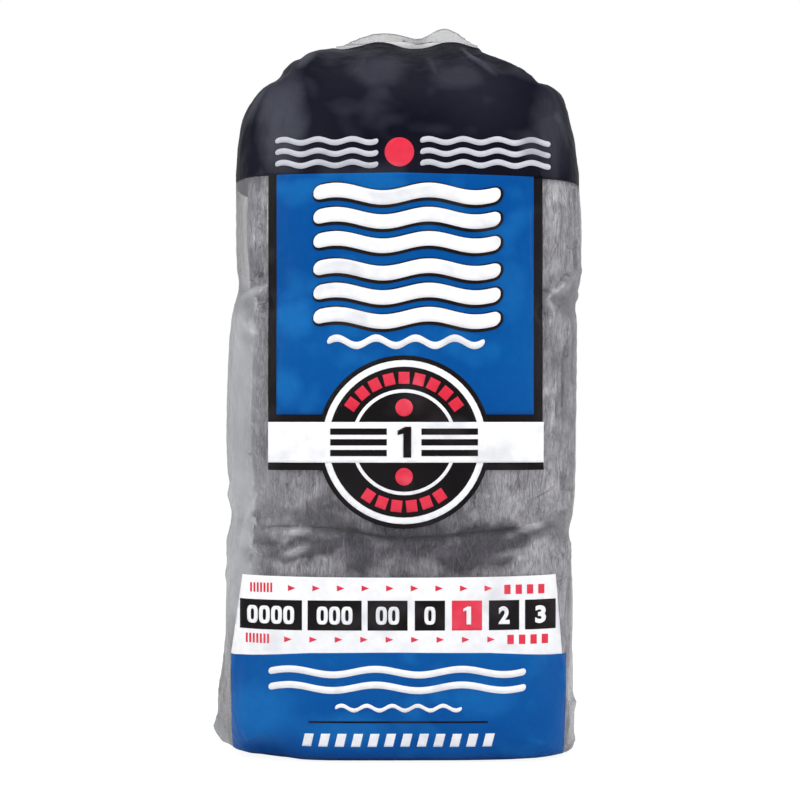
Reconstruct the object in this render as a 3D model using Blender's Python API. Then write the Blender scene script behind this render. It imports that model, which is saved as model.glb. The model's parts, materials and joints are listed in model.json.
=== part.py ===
"""A printed clear film pack of rolled steel wool pads, standing on its folded bottom.

The pads lie four deep in three tiers. The film is drawn snug round them, sinks in a little where
two tiers meet, closes over them like a tent and ends in a thin wavy seal. The film is drawn
thicker than the real one, so that it is a solid wall.

X runs across the printed front, -Y is the front and +Z is up. The origin is the middle of the
flat bottom that the pack stands on.
"""

import math

import bmesh
import bpy
from mathutils import Vector

# The pads and the stack that they make
PAD_LENGTH = 0.112  # along X, of a pad that would reach the film at both ends in the middle tier
PAD_HEIGHT = 0.0745  # along Z
PAD_THICKNESS = 0.0174  # along Y
PAD_CORNER = 0.006  # radius of the rolled edges, seen from the pad's end
CORE_CORNER = 0.0008  # smallest radius of the inner turns
CORNER_SHARE = 0.95  # the most of half the thickness that a corner's radius takes
CORNER_STEPS = 2  # faces round a corner
PAD_GAP = 0.0005  # between two pads
TURN_THICKNESS = 0.0035  # one turn of the wool ribbon in a rolled pad
TURN_GROOVE = 0.0014  # how far back the grooves between two turns lie, at the pad's end
TURN_CREST = 0.0002  # how far back the inner turn's crest lies
TIERS = ("bottom", "middle", "top")
PADS_DEEP = 4
LEFT_ROOM = (0.0065, 0.0060, 0.0015)  # more between the film and the pads' left ends, tier by tier
RIGHT_ROOM = (0.0015, 0.0010, 0.0010)

# The film
FILM = 0.0004  # wall
FILM_CLEARANCE = 0.0008  # between the film and the pads
TENT_ROOM = 0.0098  # from the top of the pads to the root of the seal
SEAL_HEIGHT = 0.0040
SEAL_THICKNESS = 0.0015  # both walls of the seal and the slit between them
SEAL_WAVE = 0.0012  # how far the seal's root waves up and down
SEAL_WAVE_LENGTH = 0.024
SEAL_WAVE_SHIFT = 0.25  # of a wave, so that the middle of the pack is between a crest and a trough
SEAL_END_SHARE = 0.12  # of the seal's height, left at its ends
SEAL_CROWN = 3  # exponent of its top edge: more is flatter in the middle
DIP_DEPTH = 0.0020  # how far the film sinks in where two tiers meet
DIP_REACH = 0.0050
DIP_TILT = -0.055  # the dips fall to the right, as metres for each metre across
DIP_FRONT_SHARE = 0.5  # of the dips' depth, on the front and back
PLEAT_DEPTH = 0.0008  # pleats of the tent
PLEATS = 7  # across the front of the tent
BODY_SQUARENESS = 4.0  # exponent of the pack's section: 2 is an ellipse, more is squarer
SEAL_SQUARENESS = 8.0

# The folded ears at the lower corners: how high each goes, how far it stands out, and its shape from
# the bottom up as shares of both
LEFT_EAR_TOP = 0.040
LEFT_EAR_REACH = 0.0054
LEFT_EAR = ((0.035, 0.0), (0.083, 0.66), (0.198, 1.0), (0.28, 0.68), (0.60, 0.70), (1.0, 0.0))
RIGHT_EAR_TOP = 0.033
RIGHT_EAR_REACH = 0.0019
RIGHT_EAR = ((0.02, 0.0), (0.08, 0.84), (0.40, 1.0), (0.50, 0.50), (0.80, 0.80), (1.0, 0.0))
EAR_SPAN = 0.4  # of the half depth
FOOT_HEIGHT = 0.020  # of the rounded foot

# The print, as heights above the bottom and half widths measured round the film from its front's middle
HEADER_FOOT = 0.1909
PANEL_FOOT = 0.1120
BAND_FOOT = 0.0976
SCALE_TOP = 0.0613
FOOTER_TOP = 0.0360
PANEL_HALF_WIDTH = 0.0451
SCALE_HALF_WIDTH = 0.0515

# Worked out from the sizes above
LAYER = PAD_HEIGHT + PAD_GAP
STACK_FOOT = FILM + PAD_GAP
STACK_TOP = STACK_FOOT + len(TIERS) * LAYER - PAD_GAP
SEAL_ROOT = STACK_TOP + TENT_ROOM
PAD_INSET = FILM + FILM_CLEARANCE
HALF_WIDTH = PAD_LENGTH / 2 + PAD_INSET
HALF_DEPTH = (PADS_DEEP * (PAD_THICKNESS + PAD_GAP) - PAD_GAP) / 2 + PAD_INSET

# The pack's outline from the bottom up: shares of the seal's height, and the reach to the left, to
# the right and to the front and back, as shares of the half width and the half depth
OUTLINE = (
    (0.000, 0.790, 0.910, 0.660),
    (0.007, 0.930, 0.990, 0.780),
    (0.015, 0.962, 1.005, 0.850),
    (0.034, 0.975, 1.005, 0.925),
    (0.068, 0.980, 1.005, 0.975),
    (0.128, 0.983, 1.007, 1.000),
    (0.477, 0.983, 1.037, 1.000),
    (0.640, 0.947, 1.055, 1.000),
    (0.703, 0.927, 1.073, 1.000),
    (0.810, 0.928, 1.047, 0.980),
    (0.869, 0.909, 1.018, 0.940),
    (0.892, 0.890, 0.992, 0.890),
    (0.918, 0.830, 0.963, 0.800),
    (0.938, 0.764, 0.912, 0.690),
    (0.948, 0.703, 0.835, 0.620),
    (0.963, 0.664, 0.705, 0.500),
    (0.980, 0.545, 0.590, 0.310),
    (1.000, 0.355, 0.470, 0.000),
)
TENT_START = 0.869  # of the seal's height

# Where the film's columns of vertices run besides the print's edges, as shares of the half width on
# the front and back, and of the half depth on the sides
ACROSS = (0.0, 0.2, 0.41, 0.62, 0.80, 1.0)
DEEP = (0.0, 0.12, 0.4, 0.7)

# Where its rings of vertices run, besides the print's edges: shares of the foot, places in the dips
# as shares of their reach, places between the dips as shares of a tier from each tier's foot, and
# places in the tent as shares of the seal's height
FOOT_LEVELS = (0.0, 0.08, 0.17, 0.4, 0.6, 0.8, 1.2)
DIP_LEVELS = (-1.6, -0.8, 0.0, 0.8, 1.6)
TIER_LEVELS = ((0.64,), (0.68,), (0.33,))
TENT_LEVELS = (0.840, 0.869, 0.892, 0.918, 0.938, 0.948, 0.963, 0.980, 1.0)
LEVEL_SPACING = 0.0015  # the least between two rings
COLUMN_SPACING = 0.05  # the least between two columns, as a share
SECTION_STEPS = 400  # for measuring a length round a quarter of the film's section

# Where a pad's rings and their vertices run: rows up its flat faces as shares of half its height,
# stations along its middle as shares of half its length, and its end's outer edge as
# (inset of its outline, how far back from the end), both in turns
FACE_ROWS = (-0.4, 0.2, 0.7)
MIDDLE_STATIONS = (-0.45, 0.0, 0.45)
END_EDGE = ((0.5, 0.0), (0.15, 0.5), (0.0, 2.0))

# Colours (sRGB) and finish of each material: hex, roughness, metallic, alpha
FINISHES = {
    "clear_film": ("C9CACD", 0.18, 0.0, 0.45),
    "navy_ink": ("15172A", 0.30, 0.0, 1.0),
    "blue_ink": ("0B58A6", 0.30, 0.0, 1.0),
    "white_ink": ("F4F4F6", 0.30, 0.0, 1.0),
    "steel_wool": ("7F7D84", 0.55, 0.6, 1.0),
}


def linear(channel):
    """One sRGB channel from 0 to 1, as linear light."""
    return channel / 12.92 if channel <= 0.04045 else ((channel + 0.055) / 1.055) ** 2.4


def material(name):
    hex_colour, roughness, metallic, alpha = FINISHES[name]
    made = bpy.data.materials.get(name) or bpy.data.materials.new(name)
    made.use_nodes = True
    shader = made.node_tree.nodes["Principled BSDF"]
    channels = [int(hex_colour[i : i + 2], 16) / 255 for i in (0, 2, 4)]
    shader.inputs["Base Color"].default_value = (*map(linear, channels), 1.0)
    shader.inputs["Roughness"].default_value = roughness
    shader.inputs["Metallic"].default_value = metallic
    shader.inputs["Alpha"].default_value = alpha
    return made


def ramp(value, low, high):
    """0 below low, 1 above high and smooth between them."""
    share = min(1.0, max(0.0, (value - low) / (high - low)))
    return share * share * (3 - 2 * share)


def hump(share):
    """0 at shares 0 and 1, and 1 halfway."""
    return 4 * share * (1 - share)


def along(rows, at, column):
    """A column of rows that start with a place, read at one place on a smooth curve without bulges."""
    places = [row[0] for row in rows]
    values = [row[column] for row in rows]
    at = min(max(at, places[0]), places[-1])
    span = next(i for i in range(len(rows) - 1) if at <= places[i + 1])
    slopes = [
        (values[i + 1] - values[i]) / (places[i + 1] - places[i]) for i in range(len(rows) - 1)
    ]

    def tangent(i):
        before, after = slopes[max(i - 1, 0)], slopes[min(i, len(slopes) - 1)]
        return 0.0 if before * after <= 0 else 2 * before * after / (before + after)

    width = places[span + 1] - places[span]
    t = (at - places[span]) / width
    return (
        values[span] * (1 + 2 * t) * (1 - t) ** 2
        + tangent(span) * width * t * (1 - t) ** 2
        + values[span + 1] * t * t * (3 - 2 * t)
        + tangent(span + 1) * width * t * t * (t - 1)
    )


def dip(x, z):
    """How far the film and the wool are drawn in at a height, where two tiers meet."""
    depth = 0.0
    for seam in range(1, len(TIERS)):
        middle = STACK_FOOT + seam * LAYER + DIP_TILT * x
        depth += DIP_DEPTH * math.exp(-(((z - middle) / DIP_REACH) ** 2))
    return depth


def reaches(z):
    """The outside of the film at a height: its reach to the left, to the right, and to front and back."""
    share = z / SEAL_ROOT
    left = along(OUTLINE, share, 1) * HALF_WIDTH - dip(-HALF_WIDTH, z)
    right = along(OUTLINE, share, 2) * HALF_WIDTH - dip(HALF_WIDTH, z)
    depth = max(along(OUTLINE, share, 3) * HALF_DEPTH, SEAL_THICKNESS / 2)
    return left, right, depth - DIP_FRONT_SHARE * dip(0.0, z)


def in_pack(across, deep, z, inset, left_room=0.0, right_room=0.0):
    """The place at a share across and a share deep, from -1 to 1, of the pack's section at a height."""
    left, right, depth = reaches(z)
    left, right = left - left_room, right - right_room
    rise = ramp(z / SEAL_ROOT, TENT_START, 1.0)
    power = BODY_SQUARENESS + (SEAL_SQUARENESS - BODY_SQUARENESS) * rise
    size = (abs(across) ** power + abs(deep) ** power) ** (1 / power)
    pull = max(abs(across), abs(deep)) / size if size else 1.0
    x = across * pull * ((right if across > 0 else left) - inset)
    y = deep * pull * (depth - inset)
    return Vector((x, y, z))


def ear(rows, top, reach, z):
    """How far an ear stands out at a height."""
    share = z / top
    return reach * along(rows, share, 1) if rows[0][0] < share < rows[-1][0] else 0.0


def seal_top(x):
    """How far the seal stands above its root: full in the middle and nothing at its ends."""
    left, right, _ = reaches(SEAL_ROOT)
    middle, half = (right - left) / 2, (right + left) / 2
    return SEAL_HEIGHT * max(SEAL_END_SHARE, 1 - abs((x - middle) / half) ** SEAL_CROWN)


def film_place(across, deep, level, inset):
    """A place on the film. A level up to the seal's root is a height, and above it a share of the seal."""
    z, seal_share = level
    place = in_pack(across, deep, z, inset)
    rise = ramp(z / SEAL_ROOT, TENT_START, 1.0)
    wave = SEAL_WAVE * math.cos(math.tau * (place.x / SEAL_WAVE_LENGTH + SEAL_WAVE_SHIFT))
    place.z += rise * wave + seal_share * seal_top(place.x)
    if inset:
        lift = 1 - ramp(z, 0.0, FOOT_HEIGHT)
        drop = rise * (1 - seal_share)
        place.z += inset * (lift - drop)
    if abs(deep) == 1:
        pleat = PLEAT_DEPTH * abs(math.sin(math.pi * PLEATS * across / 2))
        place.y += math.copysign(pleat * hump(rise), deep)
    if abs(across) == 1:
        right_ear = (RIGHT_EAR, RIGHT_EAR_TOP, RIGHT_EAR_REACH)
        left_ear = (LEFT_EAR, LEFT_EAR_TOP, LEFT_EAR_REACH)
        point = max(0.0, 1 - abs(deep) / EAR_SPAN) ** 2
        place.x += math.copysign(ear(*(right_ear if across > 0 else left_ear), z) * point, across)
    return place


def levels():
    """The heights of the film's rings of vertices, from the bottom to the seal's top edge."""
    seams = [STACK_FOOT + seam * LAYER for seam in range(1, len(TIERS))]
    dips = [seam + step * DIP_REACH for seam in seams for step in DIP_LEVELS]
    print_edges = [FOOTER_TOP, SCALE_TOP, BAND_FOOT, PANEL_FOOT, HEADER_FOOT]
    between = [STACK_FOOT + (tier + up) * LAYER for tier, ups in enumerate(TIER_LEVELS) for up in ups]
    tent = [SEAL_ROOT * share for share in TENT_LEVELS]
    foot = [FOOT_HEIGHT * share for share in FOOT_LEVELS]
    spaced = []
    for z in sorted((*foot, *dips, *print_edges, *between, *tent), reverse=True):
        if not spaced or spaced[-1] - z > LEVEL_SPACING or z == 0:
            spaced.append(z)
    return [(z, 0.0) for z in reversed(spaced)] + [(SEAL_ROOT, 1.0)]


def print_column(half_width):
    """(across, deep) of the column of vertices that lies a length round the film from its front's middle."""
    gone, last = 0.0, Vector((0.0, HALF_DEPTH))
    for step in range(1, SECTION_STEPS + 1):
        share = 2 * step / SECTION_STEPS
        across, deep = min(share, 1.0), min(2 - share, 1.0)
        size = (across**BODY_SQUARENESS + deep**BODY_SQUARENESS) ** (1 / BODY_SQUARENESS)
        place = Vector((across / size * HALF_WIDTH, deep / size * HALF_DEPTH))
        gone += (place - last).length
        last = place
        if gone >= half_width:
            break
    return across, deep


def section_columns():
    """(across, deep) of each column of vertices, once round the section from the left side's middle."""
    quarter = [print_column(PANEL_HALF_WIDTH), print_column(SCALE_HALF_WIDTH)]
    for across, deep in [(a, 1.0) for a in ACROSS] + [(1.0, d) for d in DEEP]:
        near = (abs(across - a) + abs(deep - d) for a, d in quarter[:2])
        if min(near) > COLUMN_SPACING:
            quarter.append((across, deep))
    whole = {(a * side, d * face) for a, d in quarter for side in (-1, 1) for face in (-1, 1)}
    return sorted(whole, key=lambda column: math.atan2(column[1], column[0]))


def loft(rings):
    """A closed body through rings of places, each as long as the next, with both ends capped by fans."""
    count = len(rings[0])
    bm = bmesh.new()
    bmesh.ops.create_circle(bm, segments=count, radius=1.0)
    column = bm.verts.layers.int.new("column")
    bm.verts.ensure_lookup_table()
    for i, vert in enumerate(bm.verts):
        vert[column] = i
        vert.co = rings[0][i]
    first = edges = bm.edges[:]
    for ring in rings[1:]:
        made = bmesh.ops.extrude_edge_only(bm, edges=edges)["geom"]
        for vert in (g for g in made if isinstance(g, bmesh.types.BMVert)):
            vert.co = ring[vert[column]]
        edges = [
            g for g in made if isinstance(g, bmesh.types.BMEdge) and len(g.link_faces) == 1
        ]
    caps = [bmesh.ops.edgeloop_fill(bm, edges=loop)["faces"][0] for loop in (first, edges)]
    bmesh.ops.poke(bm, faces=caps)
    bmesh.ops.recalc_face_normals(bm, faces=bm.faces[:])
    return bm


def add_object(name, bm, material_names, keep_sharp_over):
    mesh = bpy.data.meshes.new(name)
    bm.to_mesh(mesh)
    bm.free()
    for material_name in material_names:
        mesh.materials.append(material(material_name))
    mesh.shade_smooth()
    mesh.set_sharp_from_angle(angle=math.radians(keep_sharp_over))
    made = bpy.data.objects.new(name, mesh)
    bpy.context.scene.collection.objects.link(made)
    return made


def ink_at(middle, outward, panel_edge, scale_edge):
    """The material that a face of the film shows: the print's fields of colour, or the clear film.

    The edges are angles round the section from the middle of its front."""
    if HEADER_FOOT < middle.z < SEAL_ROOT:
        return "navy_ink"
    if outward.y >= 0 or not 0 < middle.z < HEADER_FOOT:
        return "clear_film"
    left, right, depth = reaches(middle.z)
    angle = math.atan2(abs(middle.x) / (right if middle.x > 0 else left), -middle.y / depth)
    if middle.z > BAND_FOOT and angle < panel_edge:
        return "blue_ink" if middle.z > PANEL_FOOT else "white_ink"
    if middle.z < SCALE_TOP and angle < scale_edge:
        return "white_ink" if middle.z > FOOTER_TOP else "blue_ink"
    return "clear_film"


def make_bag():
    """The film: up the outside, over the seal's edge and down the inside, as one body."""
    columns = section_columns()
    outside = [[film_place(a, d, level, 0.0) for a, d in columns] for level in levels()]
    inside = [[film_place(a, d, level, FILM) for a, d in columns] for level in reversed(levels())]
    bm = loft(outside + inside)
    inks = ["clear_film", "navy_ink", "blue_ink", "white_ink"]
    edges = [math.atan2(*print_column(width)) for width in (PANEL_HALF_WIDTH, SCALE_HALF_WIDTH)]
    for face in bm.faces:
        face.material_index = inks.index(ink_at(face.calc_center_median(), face.normal, *edges))
    return add_object("bag", bm, inks, keep_sharp_over=50)


def pad_outline(inset):
    """The rolled pad seen from its end, as (deep, up) from its middle: a rectangle with round corners."""
    half_deep, half_up = PAD_THICKNESS / 2 - inset, PAD_HEIGHT / 2 - inset
    radius = min(max(PAD_CORNER - inset, CORE_CORNER), half_deep * CORNER_SHARE)
    outline = []
    for corner, (side_deep, side_up) in enumerate(((1, 1), (-1, 1), (-1, -1), (1, -1))):
        for step in range(CORNER_STEPS + 1):
            angle = math.radians(90 * (corner + step / CORNER_STEPS))
            deep = side_deep * (half_deep - radius) + radius * math.cos(angle)
            up = side_up * (half_up - radius) + radius * math.sin(angle)
            outline.append((deep, up))
        if side_deep == side_up:
            continue
        rows = FACE_ROWS if side_up < 0 else reversed(FACE_ROWS)
        outline += [(side_deep * half_deep, share * (half_up - radius)) for share in rows]
    return outline


def pad_stations():
    """(place along the pad from -1 to 1, inset of its outline) from one rolled end to the other."""
    half = PAD_LENGTH / 2
    core = [
        (TURN_THICKNESS * 2, TURN_GROOVE),
        (TURN_THICKNESS * 1.5, TURN_CREST),
        (TURN_THICKNESS, TURN_GROOVE),
    ]
    edge = [(TURN_THICKNESS * inset, TURN_THICKNESS * back) for inset, back in END_EDGE]
    left = [(back / half - 1, inset) for inset, back in core + edge]
    right = [(-place, inset) for place, inset in reversed(left)]
    return left + [(place, 0.0) for place in MIDDLE_STATIONS] + right


def pressed(across, deep, z, tier):
    """A place on a pad: as in_pack, but also clear of the film's sloping foot and tent."""
    foot = 1 - ramp(z, 0.0, FOOT_HEIGHT)
    rise = ramp(z / SEAL_ROOT, TENT_START, 1.0)
    at = z + (PAD_INSET + SEAL_WAVE) * rise - PAD_INSET * foot
    place = in_pack(across, deep, at, PAD_INSET, LEFT_ROOM[tier], RIGHT_ROOM[tier])
    place.z = z
    return place


def make_pad(tier, row):
    """One pad, pressed to the shape that its place in the pack leaves it."""
    half_stack = HALF_DEPTH - PAD_INSET
    middle_y = (row + 0.5) * (PAD_THICKNESS + PAD_GAP) - PAD_GAP / 2 - half_stack
    middle_z = STACK_FOOT + tier * LAYER + PAD_HEIGHT / 2
    rings = []
    for across, inset in pad_stations():
        ring = [
            pressed(across, (middle_y + deep) / half_stack, middle_z + up, tier)
            for deep, up in pad_outline(inset)
        ]
        rings.append(ring)
    return add_object(f"pad_{TIERS[tier]}_{row + 1}", loft(rings), ["steel_wool"], keep_sharp_over=60)


def main():
    for old in list(bpy.data.objects):
        bpy.data.objects.remove(old)
    pack = bpy.data.objects.new("pack", None)
    bpy.context.scene.collection.objects.link(pack)
    pieces = [make_bag()]
    for tier in range(len(TIERS)):
        for row in range(PADS_DEEP):
            pieces.append(make_pad(tier, row))
    for piece in pieces:
        piece.parent = pack


main()
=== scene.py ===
"""The looks of a printed film pack of rolled steel wool pads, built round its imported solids.

The film, the pads and the wool's loose fibres are modelled pieces. The print is thin coats of ink that
lie on the film: fields of colour, wavy strands, bars and numbers.
"""

import json
import math
import random

import bmesh
import bpy
import numpy as np
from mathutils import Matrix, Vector, noise
from mathutils.bvhtree import BVHTree

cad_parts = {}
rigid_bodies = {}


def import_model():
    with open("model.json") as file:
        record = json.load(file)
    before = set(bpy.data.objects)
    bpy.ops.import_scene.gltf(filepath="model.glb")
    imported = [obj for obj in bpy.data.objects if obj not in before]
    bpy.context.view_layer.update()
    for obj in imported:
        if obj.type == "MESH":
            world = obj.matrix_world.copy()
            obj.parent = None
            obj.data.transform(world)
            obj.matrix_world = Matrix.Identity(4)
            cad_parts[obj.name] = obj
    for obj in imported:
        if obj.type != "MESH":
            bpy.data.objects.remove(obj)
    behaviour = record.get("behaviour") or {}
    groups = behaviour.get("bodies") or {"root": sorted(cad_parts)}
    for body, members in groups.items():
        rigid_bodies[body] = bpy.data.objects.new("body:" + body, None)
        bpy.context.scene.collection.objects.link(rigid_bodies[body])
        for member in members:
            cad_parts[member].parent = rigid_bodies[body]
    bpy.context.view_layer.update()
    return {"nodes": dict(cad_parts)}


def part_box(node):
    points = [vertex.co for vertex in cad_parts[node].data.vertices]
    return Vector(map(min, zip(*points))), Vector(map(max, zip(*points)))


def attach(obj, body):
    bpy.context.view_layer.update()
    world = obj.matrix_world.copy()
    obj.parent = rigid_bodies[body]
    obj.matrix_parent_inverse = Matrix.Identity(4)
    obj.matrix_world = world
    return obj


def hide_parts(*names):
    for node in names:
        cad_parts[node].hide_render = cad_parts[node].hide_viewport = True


bl_info = {
    "name": "Steel wool pad pack",
    "version": (1, 0, 0),
    "blender": (4, 5, 0),
    "location": "3D View > Sidebar > Wool pack",
    "description": "Dresses the solids of a film pack of steel wool pads",
    "category": "Object",
}

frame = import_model()

MM = 0.001
BODY = "root"
TIERS = ("bottom", "middle", "top")
PADS_DEEP = 4

# Sizes that the solids were built to, in metres
SEAL_ROOT = 0.2352
SEAL_WAVE = 0.0012
SEAL_WAVE_LENGTH = 0.024
SEAL_WAVE_SHIFT = 0.25
SEAL_THICKNESS = 0.0015

OUTSIDE = 0.2  # how far from the pack's middle, in metres, a ray starts that looks for a surface
CUT_MERGE = 1e-7  # a corner this near a cut, in metres, counts as on it

# Soft patches, in mm: middle x and z, half width, half height and weight. On the wool they are painted shade
# where the weight is positive and painted light where it is negative.
WOOL_SHADE_AND_LIGHT_PATCHES = (
    (3.0, 70.0, 30.0, 10.0, 0.8),
    (33.5, 73.5, 11.0, 6.5, 0.95),
    (27.0, 66.0, 10.0, 5.0, 0.7),
    (-35.0, 70.0, 14.0, 3.2, 0.95),
    (-27.0, 80.0, 9.0, 8.0, 0.65),
    (38.0, 88.0, 13.0, 8.0, -0.9),
    (49.0, 66.0, 8.0, 8.0, -0.7),
    (-34.0, 89.0, 9.0, 6.0, -0.6),
    (-30.0, 63.5, 11.0, 3.0, -0.6),
    (53.0, 165.0, 12.0, 26.0, -0.7),
    (53.0, 128.0, 7.0, 22.0, 0.15),
)
# The film folded double: milkier, and darker in colour as painted shade
DOUBLED_SHADED_FILM = (
    (-56.0, 26.0, 8.0, 22.0, 1.0),
    (-53.0, 18.0, 2.5, 14.0, 1.2),
    (55.0, 75.0, 8.0, 5.0, 0.9),
    (56.0, 149.0, 7.0, 6.0, 0.8),
    (-51.0, 149.0, 5.0, 5.0, 0.4),
)
# Painted highlights on the navy and blue inks
INK_SHEEN_PATCHES = {
    "navy": (
        (-37.0, 206.0, 8.0, 17.0, 0.9),
        (-6.0, 223.0, 10.0, 6.0, 0.55),
        (20.0, 221.0, 9.0, 6.0, 0.5),
        (50.0, 203.0, 6.0, 14.0, 0.45),
    ),
    "blue": (
        (-33.0, 143.0, 7.0, 7.0, 0.9),
        (-35.0, 121.0, 6.0, 7.0, 0.8),
        (-30.0, 184.0, 12.0, 4.0, 0.7),
        (36.0, 152.0, 6.0, 9.0, 0.55),
        (-43.0, 17.0, 12.0, 11.0, 0.8),
        (-16.0, 11.0, 15.0, 6.0, 0.7),
        (27.0, 22.0, 13.0, 7.0, 0.6),
    ),
}
ANY_DEPTH = 1000.0  # half the depth of a patch in mm, so that it reaches through the pack
PATCH_EDGE_MM = 11  # size of the waves in a patch's edge

COLOUR_A, COLOUR_B, COLOUR_OUT = 6, 7, 2  # a Mix node's sockets for colours


class WoolPackFilm(bpy.types.PropertyGroup):
    """Sizes and colour of the clear film."""

    facet: bpy.props.FloatProperty(
        name="Facet", description="Longest edge of the film's mesh", default=1.9 * MM, unit="LENGTH"
    )
    swell: bpy.props.FloatProperty(
        name="Swell", description="Height of the film's soft waves", default=0.45 * MM, unit="LENGTH"
    )
    crinkle: bpy.props.FloatProperty(
        name="Crinkle", description="Height of its small crinkles", default=0.22 * MM, unit="LENGTH"
    )
    seal_wall: bpy.props.FloatProperty(
        name="Seal", description="Thickness of the welded seal", default=0.5 * MM, unit="LENGTH"
    )
    lap: bpy.props.FloatProperty(
        name="Lap", description="Width of the weld down the back", default=9.0 * MM, unit="LENGTH"
    )


class WoolPackWool(bpy.types.PropertyGroup):
    """Sizes of the wool's surface and fibres."""

    ridge: bpy.props.FloatProperty(
        name="Ridge", description="Width of a combed bundle of fibres", default=1.6 * MM, unit="LENGTH"
    )
    relief: bpy.props.FloatProperty(
        name="Relief", description="Depth between two bundles", default=0.45 * MM, unit="LENGTH"
    )
    turn: bpy.props.FloatProperty(
        name="Turn", description="Thickness of one turn of a rolled pad", default=3.5 * MM, unit="LENGTH"
    )
    groove: bpy.props.FloatProperty(
        name="Groove", description="Depth between two turns at a pad's end", default=1.3 * MM, unit="LENGTH"
    )
    fill: bpy.props.FloatProperty(
        name="Fill", description="How far the pads fill out to the right", default=3.0 * MM, unit="LENGTH"
    )
    room: bpy.props.FloatProperty(
        name="Room", description="Least room between wool and film", default=0.25 * MM, unit="LENGTH"
    )
    strand: bpy.props.FloatProperty(
        name="Strand", description="Radius of a loose fibre, drawn coarse", default=0.065 * MM, unit="LENGTH"
    )
    strands: bpy.props.IntProperty(
        name="Strands", description="Loose fibres on a pad's face", default=200, min=0
    )


class WoolPackPrint(bpy.types.PropertyGroup):
    """Sizes of the print on the film."""

    ink: bpy.props.FloatProperty(
        name="Ink", description="Thickness of one coat of ink, drawn thick", default=0.04 * MM, unit="LENGTH"
    )
    coat: bpy.props.FloatProperty(
        name="Coat", description="Height from one coat of ink to the next", default=0.06 * MM, unit="LENGTH"
    )
    badge: bpy.props.FloatProperty(
        name="Badge", description="Radius of the round badge", default=27.6 * MM, unit="LENGTH"
    )
    digits: bpy.props.FloatProperty(
        name="Digits", description="Height of the grade numbers", default=5.7 * MM, unit="LENGTH"
    )


def linear(channel):
    return channel / 12.92 if channel <= 0.04045 else ((channel + 0.055) / 1.055) ** 2.4


def colour(hex_colour):
    """An sRGB hex colour as linear red, green, blue and alpha."""
    return (*(linear(int(hex_colour[i : i + 2], 16) / 255) for i in (0, 2, 4)), 1.0)


def add_node(tree, kind, inputs=None, output=0, **settings):
    """Adds a node with its settings, links or sets its inputs, and gives the output that is asked for."""
    node = tree.nodes.new(kind)
    for name, value in settings.items():
        setattr(node, name, value)
    for name, value in (inputs or {}).items():
        if isinstance(value, bpy.types.NodeSocket):
            tree.links.new(value, node.inputs[name])
        else:
            node.inputs[name].default_value = value
    return node.outputs[output] if node.outputs else None


def new_material(name):
    """A material with an empty tree."""
    made = bpy.data.materials.new(name)
    made.use_nodes = True
    made.node_tree.nodes.clear()
    return made, made.node_tree


def place_on_object(tree, size_mm, stretch=(1.0, 1.0, 1.0), offset=(0.0, 0.0, 0.0), source=None):
    """Object coordinates on which one unit is a real size, longer along an axis by its stretch."""
    inputs = {
        "Vector": source or add_node(tree, "ShaderNodeTexCoord", output="Object"),
        "Location": offset,
        "Scale": tuple(1 / (size_mm * MM * share) for share in stretch),
    }
    return add_node(tree, "ShaderNodeMapping", inputs)


def pattern(tree, size_mm, low, high, to_low=0.0, to_high=1.0, detail=3.0, rough=0.5, twist=0.0, **places):
    """Noise of a real size, with its range from low to high stretched to another one."""
    settings = {"Scale": 1.0, "Detail": detail, "Roughness": rough, "Distortion": twist}
    settings["Vector"] = place_on_object(tree, size_mm, **places)
    value = add_node(tree, "ShaderNodeTexNoise", settings, "Fac")
    ends = {"Value": value, "From Min": low, "From Max": high, "To Min": to_low, "To Max": to_high}
    return add_node(tree, "ShaderNodeMapRange", ends)


def weighted_sum(tree, first, shares):
    """A value with several patterns added by their weights, kept from 0 to 1."""
    total = first
    for k, (share, weight) in enumerate(shares):
        last = k == len(shares) - 1
        inputs = {0: share, 1: weight, 2: total}
        total = add_node(tree, "ShaderNodeMath", inputs, operation="MULTIPLY_ADD", use_clamp=last)
    return total


def patches(tree, ovals, push_mm=4.0):
    """Soft ovals with uneven edges, as the sum of their weights."""
    place = {"Vector": place_on_object(tree, PATCH_EDGE_MM), "Scale": 1.0, "Detail": 3.0}
    push = add_node(tree, "ShaderNodeTexNoise", place, "Color")
    centred = add_node(tree, "ShaderNodeVectorMath", {0: push, 1: (0.5, 0.5, 0.5)}, operation="SUBTRACT")
    reach = 2 * push_mm * MM
    plain = add_node(tree, "ShaderNodeTexCoord", output="Object")
    pushed = {0: centred, 1: (reach, reach, reach), 2: plain}
    uneven = add_node(tree, "ShaderNodeVectorMath", pushed, operation="MULTIPLY_ADD")
    total = 0.0
    for x, z, width, height, weight in ovals:
        place = place_on_object(tree, 1, (width, ANY_DEPTH, height), (-x / width, 0, -z / height), uneven)
        distance = add_node(tree, "ShaderNodeVectorMath", {0: place}, "Value", operation="LENGTH")
        ends = {"Value": distance, "From Min": 0.35, "From Max": 1.5, "To Min": weight, "To Max": 0.0}
        share = add_node(tree, "ShaderNodeMapRange", ends, interpolation_type="SMOOTHSTEP")
        total = add_node(tree, "ShaderNodeMath", {0: total, 1: share}, operation="ADD")
    return total


def clouds(tree):
    """Soft patches where the film lies off what is behind it, the same on film and ink: on the film they
    make it milkier, on the ink they are painted sheen.
    """
    small = pattern(tree, 15, 0.50, 0.70, detail=1.5, stretch=(1.0, 1.0, 0.8))
    broad = pattern(tree, 42, 0.40, 0.70, 0.1, 0.55, detail=1.0, offset=(3.0, 1.0, 2.0))
    return add_node(tree, "ShaderNodeMath", {0: small, 1: broad}, operation="MAXIMUM", use_clamp=True)


def film_bump(tree, height_mm):
    """The fine crinkles of blown film, as a normal."""
    fine = pattern(tree, 5, 0.3, 0.7, detail=4.0, stretch=(1.0, 1.0, 1.6))
    return add_node(tree, "ShaderNodeBump", {"Height": fine, "Distance": height_mm * MM, "Strength": 1.0})


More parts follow.
